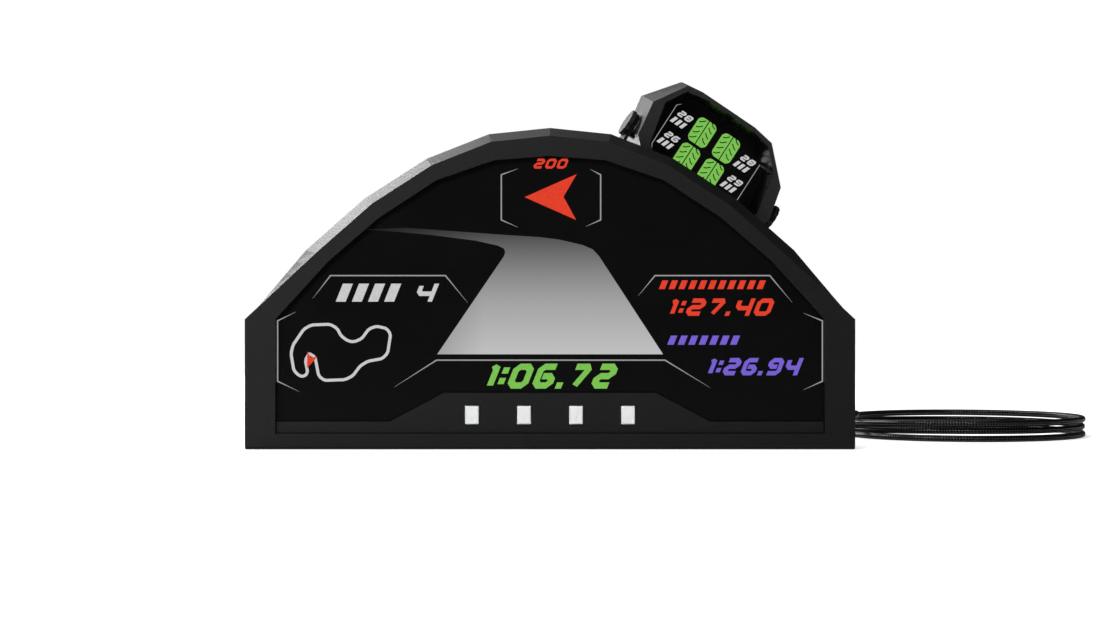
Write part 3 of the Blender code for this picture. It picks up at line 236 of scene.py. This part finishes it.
feed(tree, shader, Base_Color=colour.outputs[2], Roughness=rough.outputs[0], Specular_IOR_Level=gloss.outputs[0],
     Normal=bump.outputs[0])

cord = tube("braided_lead", cord_line, CORD_R)
cord.data.materials.append(braid)
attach(cord, "housing")
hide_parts("cable_lead", "cable_coil", "cable_tail")


# --- Housing: bezel, can, cover and gland, injection-moulded in black ABS from tools with a
# --- spark-eroded grain, so that faces seen square on are near black and faces that catch the
# --- light at a low angle turn pale and grainy.
GRAIN = 0.8 * MM  # about twice the real grain, so that it shows
MOTTLE = 30 * MM


def dress(made, *names):
    """Give a material to solids that keep their own shape."""
    for name in names:
        for slot in frame["nodes"][name].material_slots:
            slot.material = made


abs_black, tree, shader = material("moulded_black_abs", IOR=1.5, Specular_IOR_Level=0.22)
place = node(tree, "ShaderNodeTexCoord")
grain = node(tree, "ShaderNodeTexNoise",
             {"Vector": place.outputs["Object"], "Scale": 1 / GRAIN, "Detail": 3.0})
mottle = node(tree, "ShaderNodeTexNoise",
              {"Vector": place.outputs["Object"], "Scale": 1 / MOTTLE, "Detail": 2.0})
colour = node(tree, "ShaderNodeMix", {0: mottle.outputs[0], 6: linear("#090909"), 7: linear("#0d0d0e")},
              data_type="RGBA")
rough = node(tree, "ShaderNodeMapRange", {0: grain.outputs[0], 1: 0.3, 2: 0.7, 3: 0.44, 4: 0.54})
bump = node(tree, "ShaderNodeBump", {"Height": grain.outputs[0], "Strength": 0.14, "Distance": 0.1 * MM})
feed(tree, shader, Base_Color=colour.outputs[2], Roughness=rough.outputs[0], Normal=bump.outputs[0])
dress(abs_black, "front_bezel", "rear_housing", "rear_cover", "gland_body", "gland_nut", "display_carrier")


# --- Screen: a sheet of hardened glass, printed black behind, over the display module. Its coat
# --- gives back a quarter of a percent of the light, which an index of 1.1 stands for, so that it
# --- is an even black with a faint cloudy sheen.
HAZE = 25 * MM

glass, tree, shader = material("coated_black_glass", IOR=1.1)
place = node(tree, "ShaderNodeTexCoord")
haze = node(tree, "ShaderNodeTexNoise", {"Vector": place.outputs["Object"], "Scale": 1 / HAZE, "Detail": 3.0})
colour = node(tree, "ShaderNodeMix", {0: haze.outputs[0], 6: linear("#0b0b0b"), 7: linear("#0f0f0f")},
              data_type="RGBA")
rough = node(tree, "ShaderNodeMapRange", {0: haze.outputs[0], 1: 0.3, 2: 0.7, 3: 0.12, 4: 0.2})
feed(tree, shader, Base_Color=colour.outputs[2], Roughness=rough.outputs[0])
dress(glass, "display_glass", "pod_lens")

module, tree, shader = material("display_module_tin_case", Metallic=0.9)
place = node(tree, "ShaderNodeTexCoord")
brushed = node(tree, "ShaderNodeMapping", {0: place.outputs["Object"], 3: (40.0, 900.0, 900.0)})
lines = node(tree, "ShaderNodeTexNoise", {"Vector": brushed.outputs[0], "Scale": 1.0, "Detail": 2.0})
colour = node(tree, "ShaderNodeMix", {0: lines.outputs[0], 6: linear("#5a5c60"), 7: linear("#8c8e92")},
              data_type="RGBA")
rough = node(tree, "ShaderNodeMapRange", {0: lines.outputs[0], 3: 0.3, 4: 0.5})
feed(tree, shader, Base_Color=colour.outputs[2], Roughness=rough.outputs[0])
dress(module, "lcd_panel", "pod_lcd")


# --- Picture on the screen: plain numbers, lines and signs, drawn as thin lit sheets on the
# --- glass. The words' places hold rows of slanted ticks.
GLASS_FRONT = -34.7 * MM
SHEET = 0.06 * MM
PROUD = 0.04 * MM
SLANT = 0.40
WEIGHT = 0.25  # a stroke's width as a share of the number's height
DIGIT_GAP = 0.2
NARROW = {":": 0.26, ".": 0.26, "1": 0.5}
PIXELS = 900.0  # cells a metre, several times a real pixel, so that they show
WELD = 0.001 * MM
POINTED = 0.12  # what is left of a line's width at a pointed end
DIGITS = {
    "0": [(0, 0), (1, 0), (1, 1), (0, 1), (0, 0)],
    "1": [(0.1, 0.86), (1, 1), (1, 0)],
    "2": [(0, 1), (1, 1), (1, 0.5), (0, 0.5), (0, 0), (1, 0)],
    "4": [(0, 1), (0, 0.42), (1, 0.42)],
    "6": [(1, 1), (0, 1), (0, 0), (1, 0), (1, 0.5), (0.3, 0.5)],
    "7": [(0, 1), (1, 1), (0.4, 0)],
    "8": [(0, 0.5), (0, 1), (1, 1), (1, 0), (0, 0), (0, 0.5), (0.75, 0.5)],
    "9": [(0.7, 0.5), (0, 0.5), (0, 1), (1, 1), (1, 0), (0, 0)],
}


def lit(name, code):
    """Pixels lit in one colour, under the same glass: a fine grid, a little darker between."""
    made, tree, shader = material(name, Base_Color=(0, 0, 0, 1), Roughness=0.16, IOR=1.15,
                                  Emission_Strength=1.0)
    place = node(tree, "ShaderNodeTexCoord")
    grid = node(tree, "ShaderNodeTexNoise", {"Vector": place.outputs["Object"], "Scale": PIXELS, "Detail": 1.0})
    level = node(tree, "ShaderNodeMapRange", {0: grid.outputs[0], 1: 0.3, 2: 0.7, 3: 0.93, 4: 1.05})
    colour = node(tree, "ShaderNodeVectorMath", {0: linear(code)[:3], "Scale": level.outputs[0]},
                  operation="SCALE")
    feed(tree, shader, Emission_Color=colour.outputs[0])
    return made


def start_shape(name, first):
    """A new object in edit mode whose mesh is one point, ready to be drawn on."""
    bpy.ops.object.select_all(action="DESELECT")
    bpy.ops.mesh.primitive_plane_add(size=0.001, location=(first[0], 0, first[1]))
    made = bpy.context.object
    made.name = name
    bpy.ops.object.mode_set(mode="EDIT")
    bpy.ops.mesh.merge(type="CENTER")
    return made


def draw(points):
    """Extrude the selected point along a row of points."""
    for (x, z), (nx, nz) in zip(points, points[1:]):
        bpy.ops.mesh.extrude_vertices_move(TRANSFORM_OT_translate={"value": (nx - x, 0, nz - z)})


def settle(made, finish, matrix, body):
    """Put a drawn shape at its place, face out, on its body."""
    bpy.ops.object.mode_set(mode="OBJECT")
    bpy.ops.object.transform_apply(location=True, rotation=True, scale=True)
    made.data.transform(matrix)
    bpy.ops.object.mode_set(mode="EDIT")
    bpy.ops.mesh.select_all(action="SELECT")
    bpy.ops.mesh.remove_doubles(threshold=WELD)
    bpy.ops.mesh.normals_make_consistent(inside=False)
    bpy.ops.object.mode_set(mode="OBJECT")
    made.data.materials.append(finish)
    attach(made, body)
    return made


def strokes(name, rows, width, finish, matrix, body="housing", slant=0.0, base=0.0, taper=False):
    """Lines of one width along rows of points in mm, with square ends, or pointed ones."""
    rows = [[(x * MM, z * MM) for x, z in row] for row in rows]
    made = start_shape(name, rows[0][0])
    draw(rows[0])
    for row in rows[1:]:
        bpy.ops.mesh.select_all(action="DESELECT")
        bpy.ops.mesh.primitive_plane_add(size=0.001, location=(row[0][0], 0, row[0][1]))
        bpy.ops.mesh.merge(type="CENTER")
        draw(row)
    bpy.ops.mesh.select_all(action="SELECT")
    bpy.ops.mesh.remove_doubles(threshold=WELD)
    bpy.ops.mesh.extrude_edges_move(TRANSFORM_OT_translate={"value": (0, SHEET, 0)})
    bpy.ops.object.mode_set(mode="OBJECT")
    bpy.ops.object.transform_apply(location=True, rotation=True, scale=True)
    wide = made.modifiers.new("Width", "SOLIDIFY")
    wide.thickness = width * MM
    wide.offset = 0.0
    wide.use_even_offset = True
    if taper:
        middle = made.vertex_groups.new(name="middle")
        ends = [Vector(p) for row in rows for p in (row[0], row[-1])]
        for v in made.data.vertices:
            if min((Vector((v.co.x, v.co.z)) - end).length for end in ends) > 0.1 * MM:
                middle.add([v.index], 1.0, "REPLACE")
        wide.vertex_group = "middle"
        wide.thickness_vertex_group = POINTED
    bpy.ops.object.modifier_apply(modifier="Width")
    lean = Matrix.Identity(4)
    lean[0][2] = slant
    lean[0][3] = -slant * base * MM
    return settle(made, finish, matrix @ lean, body)


def flat(name, outline, finish, matrix, body="housing"):
    """A thin sheet cut to an outline in mm."""
    outline = [(x * MM, z * MM) for x, z in outline]
    made = start_shape(name, outline[0])
    draw(outline)
    bpy.ops.mesh.select_all(action="SELECT")
    bpy.ops.mesh.edge_face_add()
    bpy.ops.mesh.extrude_region_move(TRANSFORM_OT_translate={"value": (0, SHEET, 0)})
    return settle(made, finish, matrix, body)


def chamfered(row, cut):
    """A row of points with each inner corner cut off."""
    points = [Vector(p) for p in row]
    closed = (points[0] - points[-1]).length < 1e-9
    if closed:
        points = [points[-2], *points, points[1]][: len(points) + 1]
    made = []
    for before, corner, after in zip(points, points[1:], points[2:]):
        back, ahead = (before - corner), (after - corner)
        reach = min(cut, back.length / 2.2, ahead.length / 2.2)
        made += [corner + back.normalized() * reach, corner + ahead.normalized() * reach]
    made = [made[-1], *made] if closed else [points[0], *made, points[-1]]
    return [tuple(p) for p in made]


def numbers(name, text, left, right, low, high, finish, matrix, body="housing"):
    """Slanted block numbers that fill a place in mm."""
    tall = high - low
    width = WEIGHT * tall
    total = sum(NARROW.get(c, 1.0) for c in text) + DIGIT_GAP * (len(text) - 1)
    cell = (right - left - SLANT * tall) / total
    rows, x = [], left
    for c in text:
        wide = NARROW.get(c, 1.0) * cell
        if c in ":.":
            for z in (0.18, 0.6) if c == ":" else (0.0,):
                rows.append([(x + wide / 2, low + z * tall), (x + wide / 2, low + z * tall + width)])
        else:
            row = [(x + width / 2 + a * (wide - width), low + width / 2 + b * (tall - width))
                   for a, b in DIGITS[c]]
            rows.append(chamfered(row, 0.55 * width))
            if c == "4":
                side = x + wide - width / 2
                rows.append([(side, high), (side, low)])
        x += wide + DIGIT_GAP * cell
    return strokes(name, rows, width, finish, matrix, body, SLANT, low)


def ticks(name, count, left, right, low, high, finish, matrix, body="housing"):
    """A row of slanted bars that fill the place of a word, in mm."""
    pitch = (right - left - SLANT * (high - low)) / count
    rows = [[(left + (i + 0.5) * pitch, low), (left + (i + 0.5) * pitch, high)] for i in range(count)]
    return strokes(name, rows, 0.62 * pitch, finish, matrix, body, SLANT, low)


on_glass = Matrix.Translation((0, GLASS_FRONT - PROUD, 0))
red, green = lit("red_pixels", "#e2412c"), lit("green_pixels", "#7ac052")
violet = lit("violet_pixels", "#7660cf")
pale, line_grey = lit("pale_pixels", "#c9c9c9"), lit("grey_pixels", "#9a9a9a")

numbers("numbers_lap_now", "1:06.72", -31.5, 32.2, 27.8, 39.3, green, on_glass)
numbers("numbers_lap_before", "1:27.40", 52.9, 103.9, 61.3, 69.3, red, on_glass)
numbers("numbers_lap_best", "1:26.94", 70.8, 116.8, 33.9, 41.9, violet, on_glass)
numbers("numbers_corner", "4", -63.0, -51.0, 67.8, 76.1, pale, on_glass)
numbers("numbers_distance", "200", -8.0, 8.9, 129.0, 133.6, red, on_glass)
ticks("ticks_corner", 4, -100.0, -67.0, 67.8, 76.1, pale, on_glass)
ticks("ticks_lap_before", 11, 49.2, 100.2, 73.6, 77.6, red, on_glass)
ticks("ticks_lap_best", 7, 53.0, 88.4, 48.0, 52.2, violet, on_glass)
flat("arrow_turn", [(-11.7, 115.9), (12.0, 105.4), (6.2, 116.1), (12.3, 126.5)][::-1], red, on_glass)
flat("arrow_on_circuit", [(-111.8, 37.2), (-107.0, 42.4), (-110.2, 42.2), (-111.6, 45.0)], red,
     Matrix.Translation((0, -SHEET, 0)) @ on_glass)

ROUNDED = 2.2
CIRCUIT_LINE, BRACKET_LINE, POD_LINE = 1.35, 0.6, 0.35
circuit = [(-117.5, 34), (-119.5, 46), (-112, 57), (-99, 57.5), (-95, 50), (-88, 49), (-82, 57), (-73, 55),
           (-75, 42), (-86, 40), (-92, 32), (-106, 31.5), (-108.5, 44.5), (-113, 43), (-111, 33), (-117.5, 34)]
strokes("line_circuit", [chamfered(chamfered(circuit, ROUNDED), 0.35 * ROUNDED)], CIRCUIT_LINE, pale, on_glass)
brackets = [
    [(-14.7, 129.0), (-22.4, 126.2), (-22.4, 105.4), (-14.7, 102.0)],
    [(18.5, 128.7), (23.3, 126.2), (23.3, 105.4), (16.5, 102.4)],
    [(-109.2, 69.2), (-101.0, 79.8), (-48.1, 79.8), (-37.8, 67.2)],
    [(-116.9, 63.1), (-125.3, 59.0), (-125.3, 31.2), (-115.3, 26.4)],
    [(-71.7, 28.5), (-52.2, 40.9), (52.9, 40.9), (73.9, 28.1)],
    [(40.6, 70.5), (48.3, 79.8), (101.1, 79.8), (111.4, 67.5)],
    [(116.5, 62.6), (125.3, 59.0), (125.3, 31.2), (116.5, 27.2)]]
strokes("lines_brackets", brackets, BRACKET_LINE, line_grey, on_glass, taper=True)

# The road ahead: lit from grey at its near edge to black where it bends away to the left.
road_pixels, tree, shader = material("road_pixels", Base_Color=(0, 0, 0, 1), Roughness=0.16, IOR=1.15,
                                     Emission_Strength=1.0)
place = node(tree, "ShaderNodeTexCoord")
parts = node(tree, "ShaderNodeSeparateXYZ", {0: place.outputs["Object"]})
height = node(tree, "ShaderNodeMapRange", {0: parts.outputs[2], 1: 43.6 * MM, 2: 102.0 * MM})
ramp = node(tree, "ShaderNodeValToRGB", {0: height.outputs[0]})
stops = ramp.color_ramp.elements
stops[0].color, stops[1].color = linear("#c0c0c0"), linear("#3a3a3a")
for spot, code in ((0.42, "#a2a2a2"), (0.8, "#6c6c6c")):
    stops.new(spot).color = linear(code)
far = node(tree, "ShaderNodeMapRange", {0: parts.outputs[0], 1: -86.0 * MM, 2: -30.0 * MM, 3: 0.2, 4: 1.0})
colour = node(tree, "ShaderNodeVectorMath", {0: ramp.outputs[0], "Scale": far.outputs[0]}, operation="SCALE")
feed(tree, shader, Emission_Color=colour.outputs[0])
road = [(-51.9, 43.6), (52.0, 43.6), (22.6, 88.7), (19.6, 91.9), (14.9, 93.9), (4.1, 96.4), (-4.6, 97.5),
        (-20.4, 98.5), (-54.8, 101.0), (-67.1, 101.8), (-85.1, 101.0), (-70, 99.9), (-54.8, 98.5), (-34.3, 95.9),
        (-24.0, 93.6), (-21.2, 92.2), (-20.6, 90.6), (-21.2, 88.7)]
flat("road_ahead", road, road_pixels, on_glass)


# --- Pod: hood, cover, foot and knobs, moulded in glass-filled black nylon, which comes out of
# --- the tool a little paler than ABS, with a fine mottled skin. Inside the mouth the colour is
# --- painted near black as painted shade, and the finish is glossy, so that its walls mirror the picture.
SKIN = 1.3 * MM
POD_LEAN = 0.193  # how far the pod's sides lean from its up axis
MOUTH_HALF = 34.2 * MM
MOUTH_TOP = 29.2 * MM
MOUTH_CORNER = 36 * MM
CORNER_ACROSS, CORNER_UP = 0.787, 0.62
RIM = -14.7 * MM
joints = {j["name"]: j for j in frame["joints"]}
pod_up = Vector(joints["pod_swivel"]["axis"])
pod_right = Vector(joints["pod_tilt"]["axis"])
pod_back = pod_up.cross(pod_right)
pod_place = Matrix((pod_right, pod_back, pod_up)).transposed().to_4x4()
pod_place.translation = Vector(joints["pod_tilt"]["pos_m"])


def nylon(name, glossy_mouth_painted_shade):
    """Mottled nylon, with or without a glossy mouth whose colour is painted darker inside, as painted shade."""
    made, tree, shader = material(name, IOR=1.53, Specular_IOR_Level=0.3)
    place = node(tree, "ShaderNodeTexCoord")
    skin = node(tree, "ShaderNodeTexNoise",
                {"Vector": place.outputs["Object"], "Scale": 1 / SKIN, "Detail": 4.0})
    colour = node(tree, "ShaderNodeMix", {0: skin.outputs[0], 6: linear("#151516"), 7: linear("#202022")},
                  data_type="RGBA")
    rough = node(tree, "ShaderNodeMapRange", {0: skin.outputs[0], 1: 0.3, 2: 0.7, 3: 0.42, 4: 0.56})
    if glossy_mouth_painted_shade:
        from_pivot = node(tree, "ShaderNodeVectorMath", {0: place.outputs["Object"], 1: pod_place.translation},
                          operation="SUBTRACT")
        across, depth, level = (
            node(tree, "ShaderNodeVectorMath", {0: from_pivot.outputs[0], 1: axis}, operation="DOT_PRODUCT")
            for axis in (pod_right + POD_LEAN * pod_up, pod_back, pod_up))
        out = node(tree, "ShaderNodeMath", {0: across.outputs["Value"]}, operation="ABSOLUTE")
        rise = node(tree, "ShaderNodeMath", {0: level.outputs["Value"], 1: CORNER_UP}, operation="MULTIPLY")
        corner = node(tree, "ShaderNodeMath", {0: out.outputs[0], 1: CORNER_ACROSS, 2: rise.outputs[0]},
                      operation="MULTIPLY_ADD")
        limits = ((out.outputs[0], MOUTH_HALF, "LESS_THAN"), (level.outputs["Value"], MOUTH_TOP, "LESS_THAN"),
                  (corner.outputs[0], MOUTH_CORNER, "LESS_THAN"), (depth.outputs["Value"], RIM, "GREATER_THAN"))
        inside = None
        for value, limit, test in limits:
            within = node(tree, "ShaderNodeMath", {0: value, 1: limit}, operation=test)
            inside = within if inside is None else node(
                tree, "ShaderNodeMath", {0: inside.outputs[0], 1: within.outputs[0]}, operation="MULTIPLY")
        # Inside the mouth the colour is painted near black: painted shade in the hood's recess. Roughness and
        # specular there are the real gloss.
        colour = node(tree, "ShaderNodeMix", {0: inside.outputs[0], 6: colour.outputs[2], 7: linear("#050505")},
                      data_type="RGBA")
        rough = node(tree, "ShaderNodeMix", {0: inside.outputs[0], 2: rough.outputs[0], 3: 0.2})
        coat = node(tree, "ShaderNodeMix", {0: inside.outputs[0], 2: 0.3, 3: 1.0})
        feed(tree, shader, Specular_IOR_Level=coat.outputs[0])
    bump = node(tree, "ShaderNodeBump", {"Height": skin.outputs[0], "Strength": 0.12, "Distance": 0.1 * MM})
    feed(tree, shader, Base_Color=colour.outputs[2], Roughness=rough.outputs[0], Normal=bump.outputs[0])
    return made


# The hood's mouth is glossy, and its colour is painted darker inside as painted shade.
dress(nylon("nylon_hood_glossy_mouth_painted_shade", True), "pod_hood")
dress(nylon("glass_filled_black_nylon", False), "pod_rear_cover", "pod_pedestal", "pivot_knob_left",
      "pivot_knob_right")


# --- Picture in the pod: four tyre signs, each with its pressure beside it as a plain number
# --- over a short row of ticks, between two brackets. It lies on the pod's lens and tilts with it.
LENS_FRONT = 3.8 * MM
on_lens = pod_place @ Matrix.Translation((0, LENS_FRONT - PROUD, 0))

TYRE_WIDE, TYRE_TALL = 10.5, 12.8
TYRES = [(-8.2, 16.3), (5.85, 16.3), (-8.2, 1.9), (5.85, 1.9)]
GROOVE, GROOVE_PITCH, GROOVE_SHIFT = 0.5, 2.9, 0.9
tread_dark = lit("unlit_pixels", "#0a1406")
for i, (x, z) in enumerate(TYRES, start=1):
    left, right = x - TYRE_WIDE / 2, x + TYRE_WIDE / 2
    low, high = z - TYRE_TALL / 2, z + TYRE_TALL / 2
    corners = [(left, low), (right, low), (right, high), (left, high), (left, low)]
    rounded = chamfered(chamfered(corners, 1.6), 0.5)
    flat(f"tyre_sign_{i}", rounded, green, on_lens, "pod")
    grooves = [[(x, low), (x, high)]]
    for side in (-1, 1):
        for step in range(4):
            start = low + 1.4 + step * GROOVE_PITCH + (GROOVE_SHIFT if side > 0 else 0.0)
            grooves.append([(x + side * 4.3, start), (x + side * 3.0, start + 0.5),
                            (x + side * 1.4, start + 2.0)])
    strokes(f"tyre_tread_{i}", grooves, GROOVE, tread_dark,
            on_lens @ Matrix.Translation((0, -SHEET / 2, 0)), "pod")

pressures = [("28", -25.3, 16.6), ("26", -25.3, 4.9), ("28", 12.3, 15.8), ("29", 12.3, 4.2)]
for i, (text, left, low) in enumerate(pressures, start=1):
    numbers(f"numbers_pressure_{i}", text, left + 1.6, left + 10.2, low, low + 3.2, pale, on_lens, "pod")
    ticks(f"ticks_pressure_{i}", 3, left, left + 9.4, low - 4.3, low - 1.1, pale, on_lens, "pod")
pod_brackets = [[(-24.0, 22.4), (-26.0, 20.4), (-26.0, -1.4), (-24.8, -3.4)],
                [(22.6, 21.6), (24.2, 19.6), (24.2, -1.8), (22.0, -3.6)]]
strokes("lines_pod_brackets", pod_brackets, POD_LINE, line_grey, on_lens, "pod", taper=True)


# --- Key panel and keys: a satin black ABS panel below the screen and four small keys moulded
# --- in white ABS, each with a pin-hole for its status light.
KEY_GRAIN = 700.0  # grains a metre, coarser than the real ones

panel_abs, tree, shader = material("satin_black_abs", IOR=1.5, Specular_IOR_Level=0.2)
place = node(tree, "ShaderNodeTexCoord")
grain = node(tree, "ShaderNodeTexNoise",
             {"Vector": place.outputs["Object"], "Scale": 1 / GRAIN, "Detail": 2.0})
colour = node(tree, "ShaderNodeMix", {0: grain.outputs[0], 6: linear("#0e0e0f"), 7: linear("#131314")},
              data_type="RGBA")
bump = node(tree, "ShaderNodeBump", {"Height": grain.outputs[0], "Strength": 0.15, "Distance": 0.1 * MM})
rough = node(tree, "ShaderNodeMapRange", {0: grain.outputs[0], 3: 0.4, 4: 0.5})
feed(tree, shader, Base_Color=colour.outputs[2], Roughness=rough.outputs[0], Normal=bump.outputs[0])
dress(panel_abs, "button_panel", "switch_1", "switch_2", "switch_3", "switch_4", "processor")

white_abs, tree, shader = material("moulded_white_abs", IOR=1.5, Subsurface_Weight=0.05)
place = node(tree, "ShaderNodeTexCoord")
grain = node(tree, "ShaderNodeTexNoise",
             {"Vector": place.outputs["Object"], "Scale": KEY_GRAIN, "Detail": 2.0})
colour = node(tree, "ShaderNodeMix", {0: grain.outputs[0], 6: linear("#eaeae8"), 7: linear("#f1f1ef")},
              data_type="RGBA")
rough = node(tree, "ShaderNodeMapRange", {0: grain.outputs[0], 3: 0.35, 4: 0.45})
feed(tree, shader, Base_Color=colour.outputs[2], Roughness=rough.outputs[0])
dress(white_abs, "key_1", "key_2", "key_3", "key_4", "board_socket")


# --- Boards: glass-fibre laminate under green solder mask, with the copper tracks showing as
# --- paler lines.
TRACKS = 90.0  # tracks a metre

board, tree, shader = material("glass_fibre_board", Roughness=0.35, IOR=1.5)
place = node(tree, "ShaderNodeTexCoord")
turned = node(tree, "ShaderNodeMapping", {0: place.outputs["Object"], 2: (math.radians(90), 0, 0)})
tracks = node(tree, "ShaderNodeTexBrick", {0: turned.outputs[0], 1: linear("#0a3b20"), 2: linear("#0c4526"),
                                           3: linear("#2b7a4a"), 4: TRACKS, 5: 0.06, 8: 0.8, 9: 0.25})
feed(tree, shader, Base_Color=tracks.outputs[0])
dress(board, "key_board", "main_board", "pod_board")


# --- Metal pieces: zinc-plated steel, blackened steel and turned brass.
def metal(name, dark, light, low, high, stretch):
    """A metal whose tool marks run across the stretch that is given, in marks a metre."""
    made, tree, shader = material(name, Metallic=1.0)
    place = node(tree, "ShaderNodeTexCoord")
    marks = node(tree, "ShaderNodeMapping", {0: place.outputs["Object"], 3: stretch})
    lines = node(tree, "ShaderNodeTexNoise", {"Vector": marks.outputs[0], "Scale": 1.0, "Detail": 3.0})
    colour = node(tree, "ShaderNodeMix", {0: lines.outputs[0], 6: linear(dark), 7: linear(light)},
                  data_type="RGBA")
    rough = node(tree, "ShaderNodeMapRange", {0: lines.outputs[0], 3: low, 4: high})
    feed(tree, shader, Base_Color=colour.outputs[2], Roughness=rough.outputs[0])
    return made


steel = metal("zinc_plated_steel", "#a9abad", "#c6c8ca", 0.22, 0.4, (300.0, 900.0, 300.0))
black_steel = metal("blackened_steel", "#1b1b1d", "#29292b", 0.35, 0.5, (500.0, 500.0, 500.0))
brass = metal("turned_brass", "#b08a45", "#caa45c", 0.25, 0.4, (300.0, 1500.0, 300.0))
dress(steel, "friction_washer_left", "friction_washer_right", "swivel_screw", "plug_sleeve")
dress(black_steel, "pod_yoke", "pedestal_nut", *[f"flange_screw_{i}" for i in range(1, 6)],
      *[f"cover_screw_{i}" for i in range(1, 7)], *[f"pod_screw_{i}" for i in range(1, 5)])
dress(brass, *[f"mount_insert_{i}" for i in range(1, 5)])


# --- Rubber pieces: the foot pad, the boot of the lead and the plug's grip, moulded in matt
# --- black rubber that holds a little dust.
DUST = 4 * MM

rubber, tree, shader = material("matt_black_rubber", Roughness=0.75, IOR=1.5)
place = node(tree, "ShaderNodeTexCoord")
dust = node(tree, "ShaderNodeTexNoise", {"Vector": place.outputs["Object"], "Scale": 1 / DUST, "Detail": 5.0})
colour = node(tree, "ShaderNodeMix", {0: dust.outputs[0], 6: linear("#141414"), 7: linear("#222222")},
              data_type="RGBA")
bump = node(tree, "ShaderNodeBump", {"Height": dust.outputs[0], "Strength": 0.2, "Distance": 0.2 * MM})
feed(tree, shader, Base_Color=colour.outputs[2], Normal=bump.outputs[0])
dress(rubber, "base_pad", "cable_boot", "plug_body")


# --- Table and light: a white table before a white wall, a key light above and to the left of the
# --- front, weak ones at the left and above, three behind to the left that run along the arch's
# --- flared edge, and one for the back. Gloss shows the white wall above and behind to the left,
# --- and a dim room elsewhere.
TABLE_SIZE = 6.0
TABLE_DROP = 0.2 * MM
GLOW_NEAR, GLOW_FAR = 0.64, 1.0  # the table's own white, the more of it the further from the lamps
FILL = 0.15
DIM = 0.06
WALL_WAY = (-0.50, 0.62, 0.60)

bpy.ops.mesh.primitive_plane_add(size=TABLE_SIZE, location=(0, 0, -TABLE_DROP))
table = bpy.context.object
table.name = "table"
paper, tree, shader = material("white_paper", Base_Color=linear("#e8e8e8"), Roughness=0.9)
seen = node(tree, "ShaderNodeLightPath")
place = node(tree, "ShaderNodeTexCoord")
away = node(tree, "ShaderNodeVectorMath", {0: place.outputs["Object"]}, operation="LENGTH")
white = node(tree, "ShaderNodeMapRange", {0: away.outputs["Value"], 1: 0.35, 2: 1.0, 3: GLOW_NEAR, 4: GLOW_FAR})
glow = node(tree, "ShaderNodeMath", {0: seen.outputs["Is Camera Ray"], 1: white.outputs[0]},
            operation="MULTIPLY")
shader.inputs["Emission Color"].default_value = (1, 1, 1, 1)
feed(tree, shader, Emission_Strength=glow.outputs[0])
table.data.materials.append(paper)

room = bpy.data.worlds.new("white_room")
room.use_nodes = True
bpy.context.scene.world = room
tree = room.node_tree
seen = node(tree, "ShaderNodeLightPath")
back = tree.nodes["Background"]
way = node(tree, "ShaderNodeTexCoord")
near = node(tree, "ShaderNodeVectorMath", {0: way.outputs["Generated"], 1: WALL_WAY}, operation="DOT_PRODUCT")
wall = node(tree, "ShaderNodeMapRange", {0: near.outputs["Value"], 1: 0.86, 2: 1.0, 3: DIM, 4: 1.0})
mirrored = node(tree, "ShaderNodeMath",
                {0: seen.outputs["Is Glossy Ray"], 1: seen.outputs["Is Transmission Ray"]}, operation="MAXIMUM")
unseen = node(tree, "ShaderNodeMix", {0: mirrored.outputs[0], 2: FILL, 3: wall.outputs[0]})
level = node(tree, "ShaderNodeMix", {0: seen.outputs["Is Camera Ray"], 2: unseen.outputs[0], 3: 1.0})
tree.links.new(level.outputs[0], back.inputs["Strength"])
back.inputs["Color"].default_value = (1, 1, 1, 1)


def lamp(name, spot, aim, side, power):
    """A soft square lamp that isn't seen itself."""
    bpy.ops.object.light_add(type="AREA", location=spot)
    made = bpy.context.object
    made.name = name
    made.rotation_euler = (Vector(aim) - Vector(spot)).to_track_quat("-Z", "Y").to_euler()
    made.data.size = side
    made.data.energy = power
    made.visible_camera = False


lamp("key_light", (-0.30, -1.0, 0.78), (0, -0.03, 0.07), 0.22, 7.5)
lamp("left_light", (-0.62, -0.85, 0.35), (0, -0.03, 0.09), 0.3, 2.6)
lamp("top_light", (0, -0.1, 0.95), (0, -0.03, 0.1), 0.3, 2.6)
lamp("edge_light_low", (-0.56, 0.44, 0.55), (-0.1, -0.03, 0.1), 0.2, 3.9)
lamp("edge_light_high", (-0.38, 0.54, 0.60), (-0.08, -0.03, 0.1), 0.2, 1.9)
lamp("edge_light_top", (-0.10, 0.55, 0.70), (0, -0.03, 0.1), 0.2, 0.3)
lamp("back_light", (-0.35, 1.1, 0.16), (0, 0.03, 0.07), 0.4, 4.0)
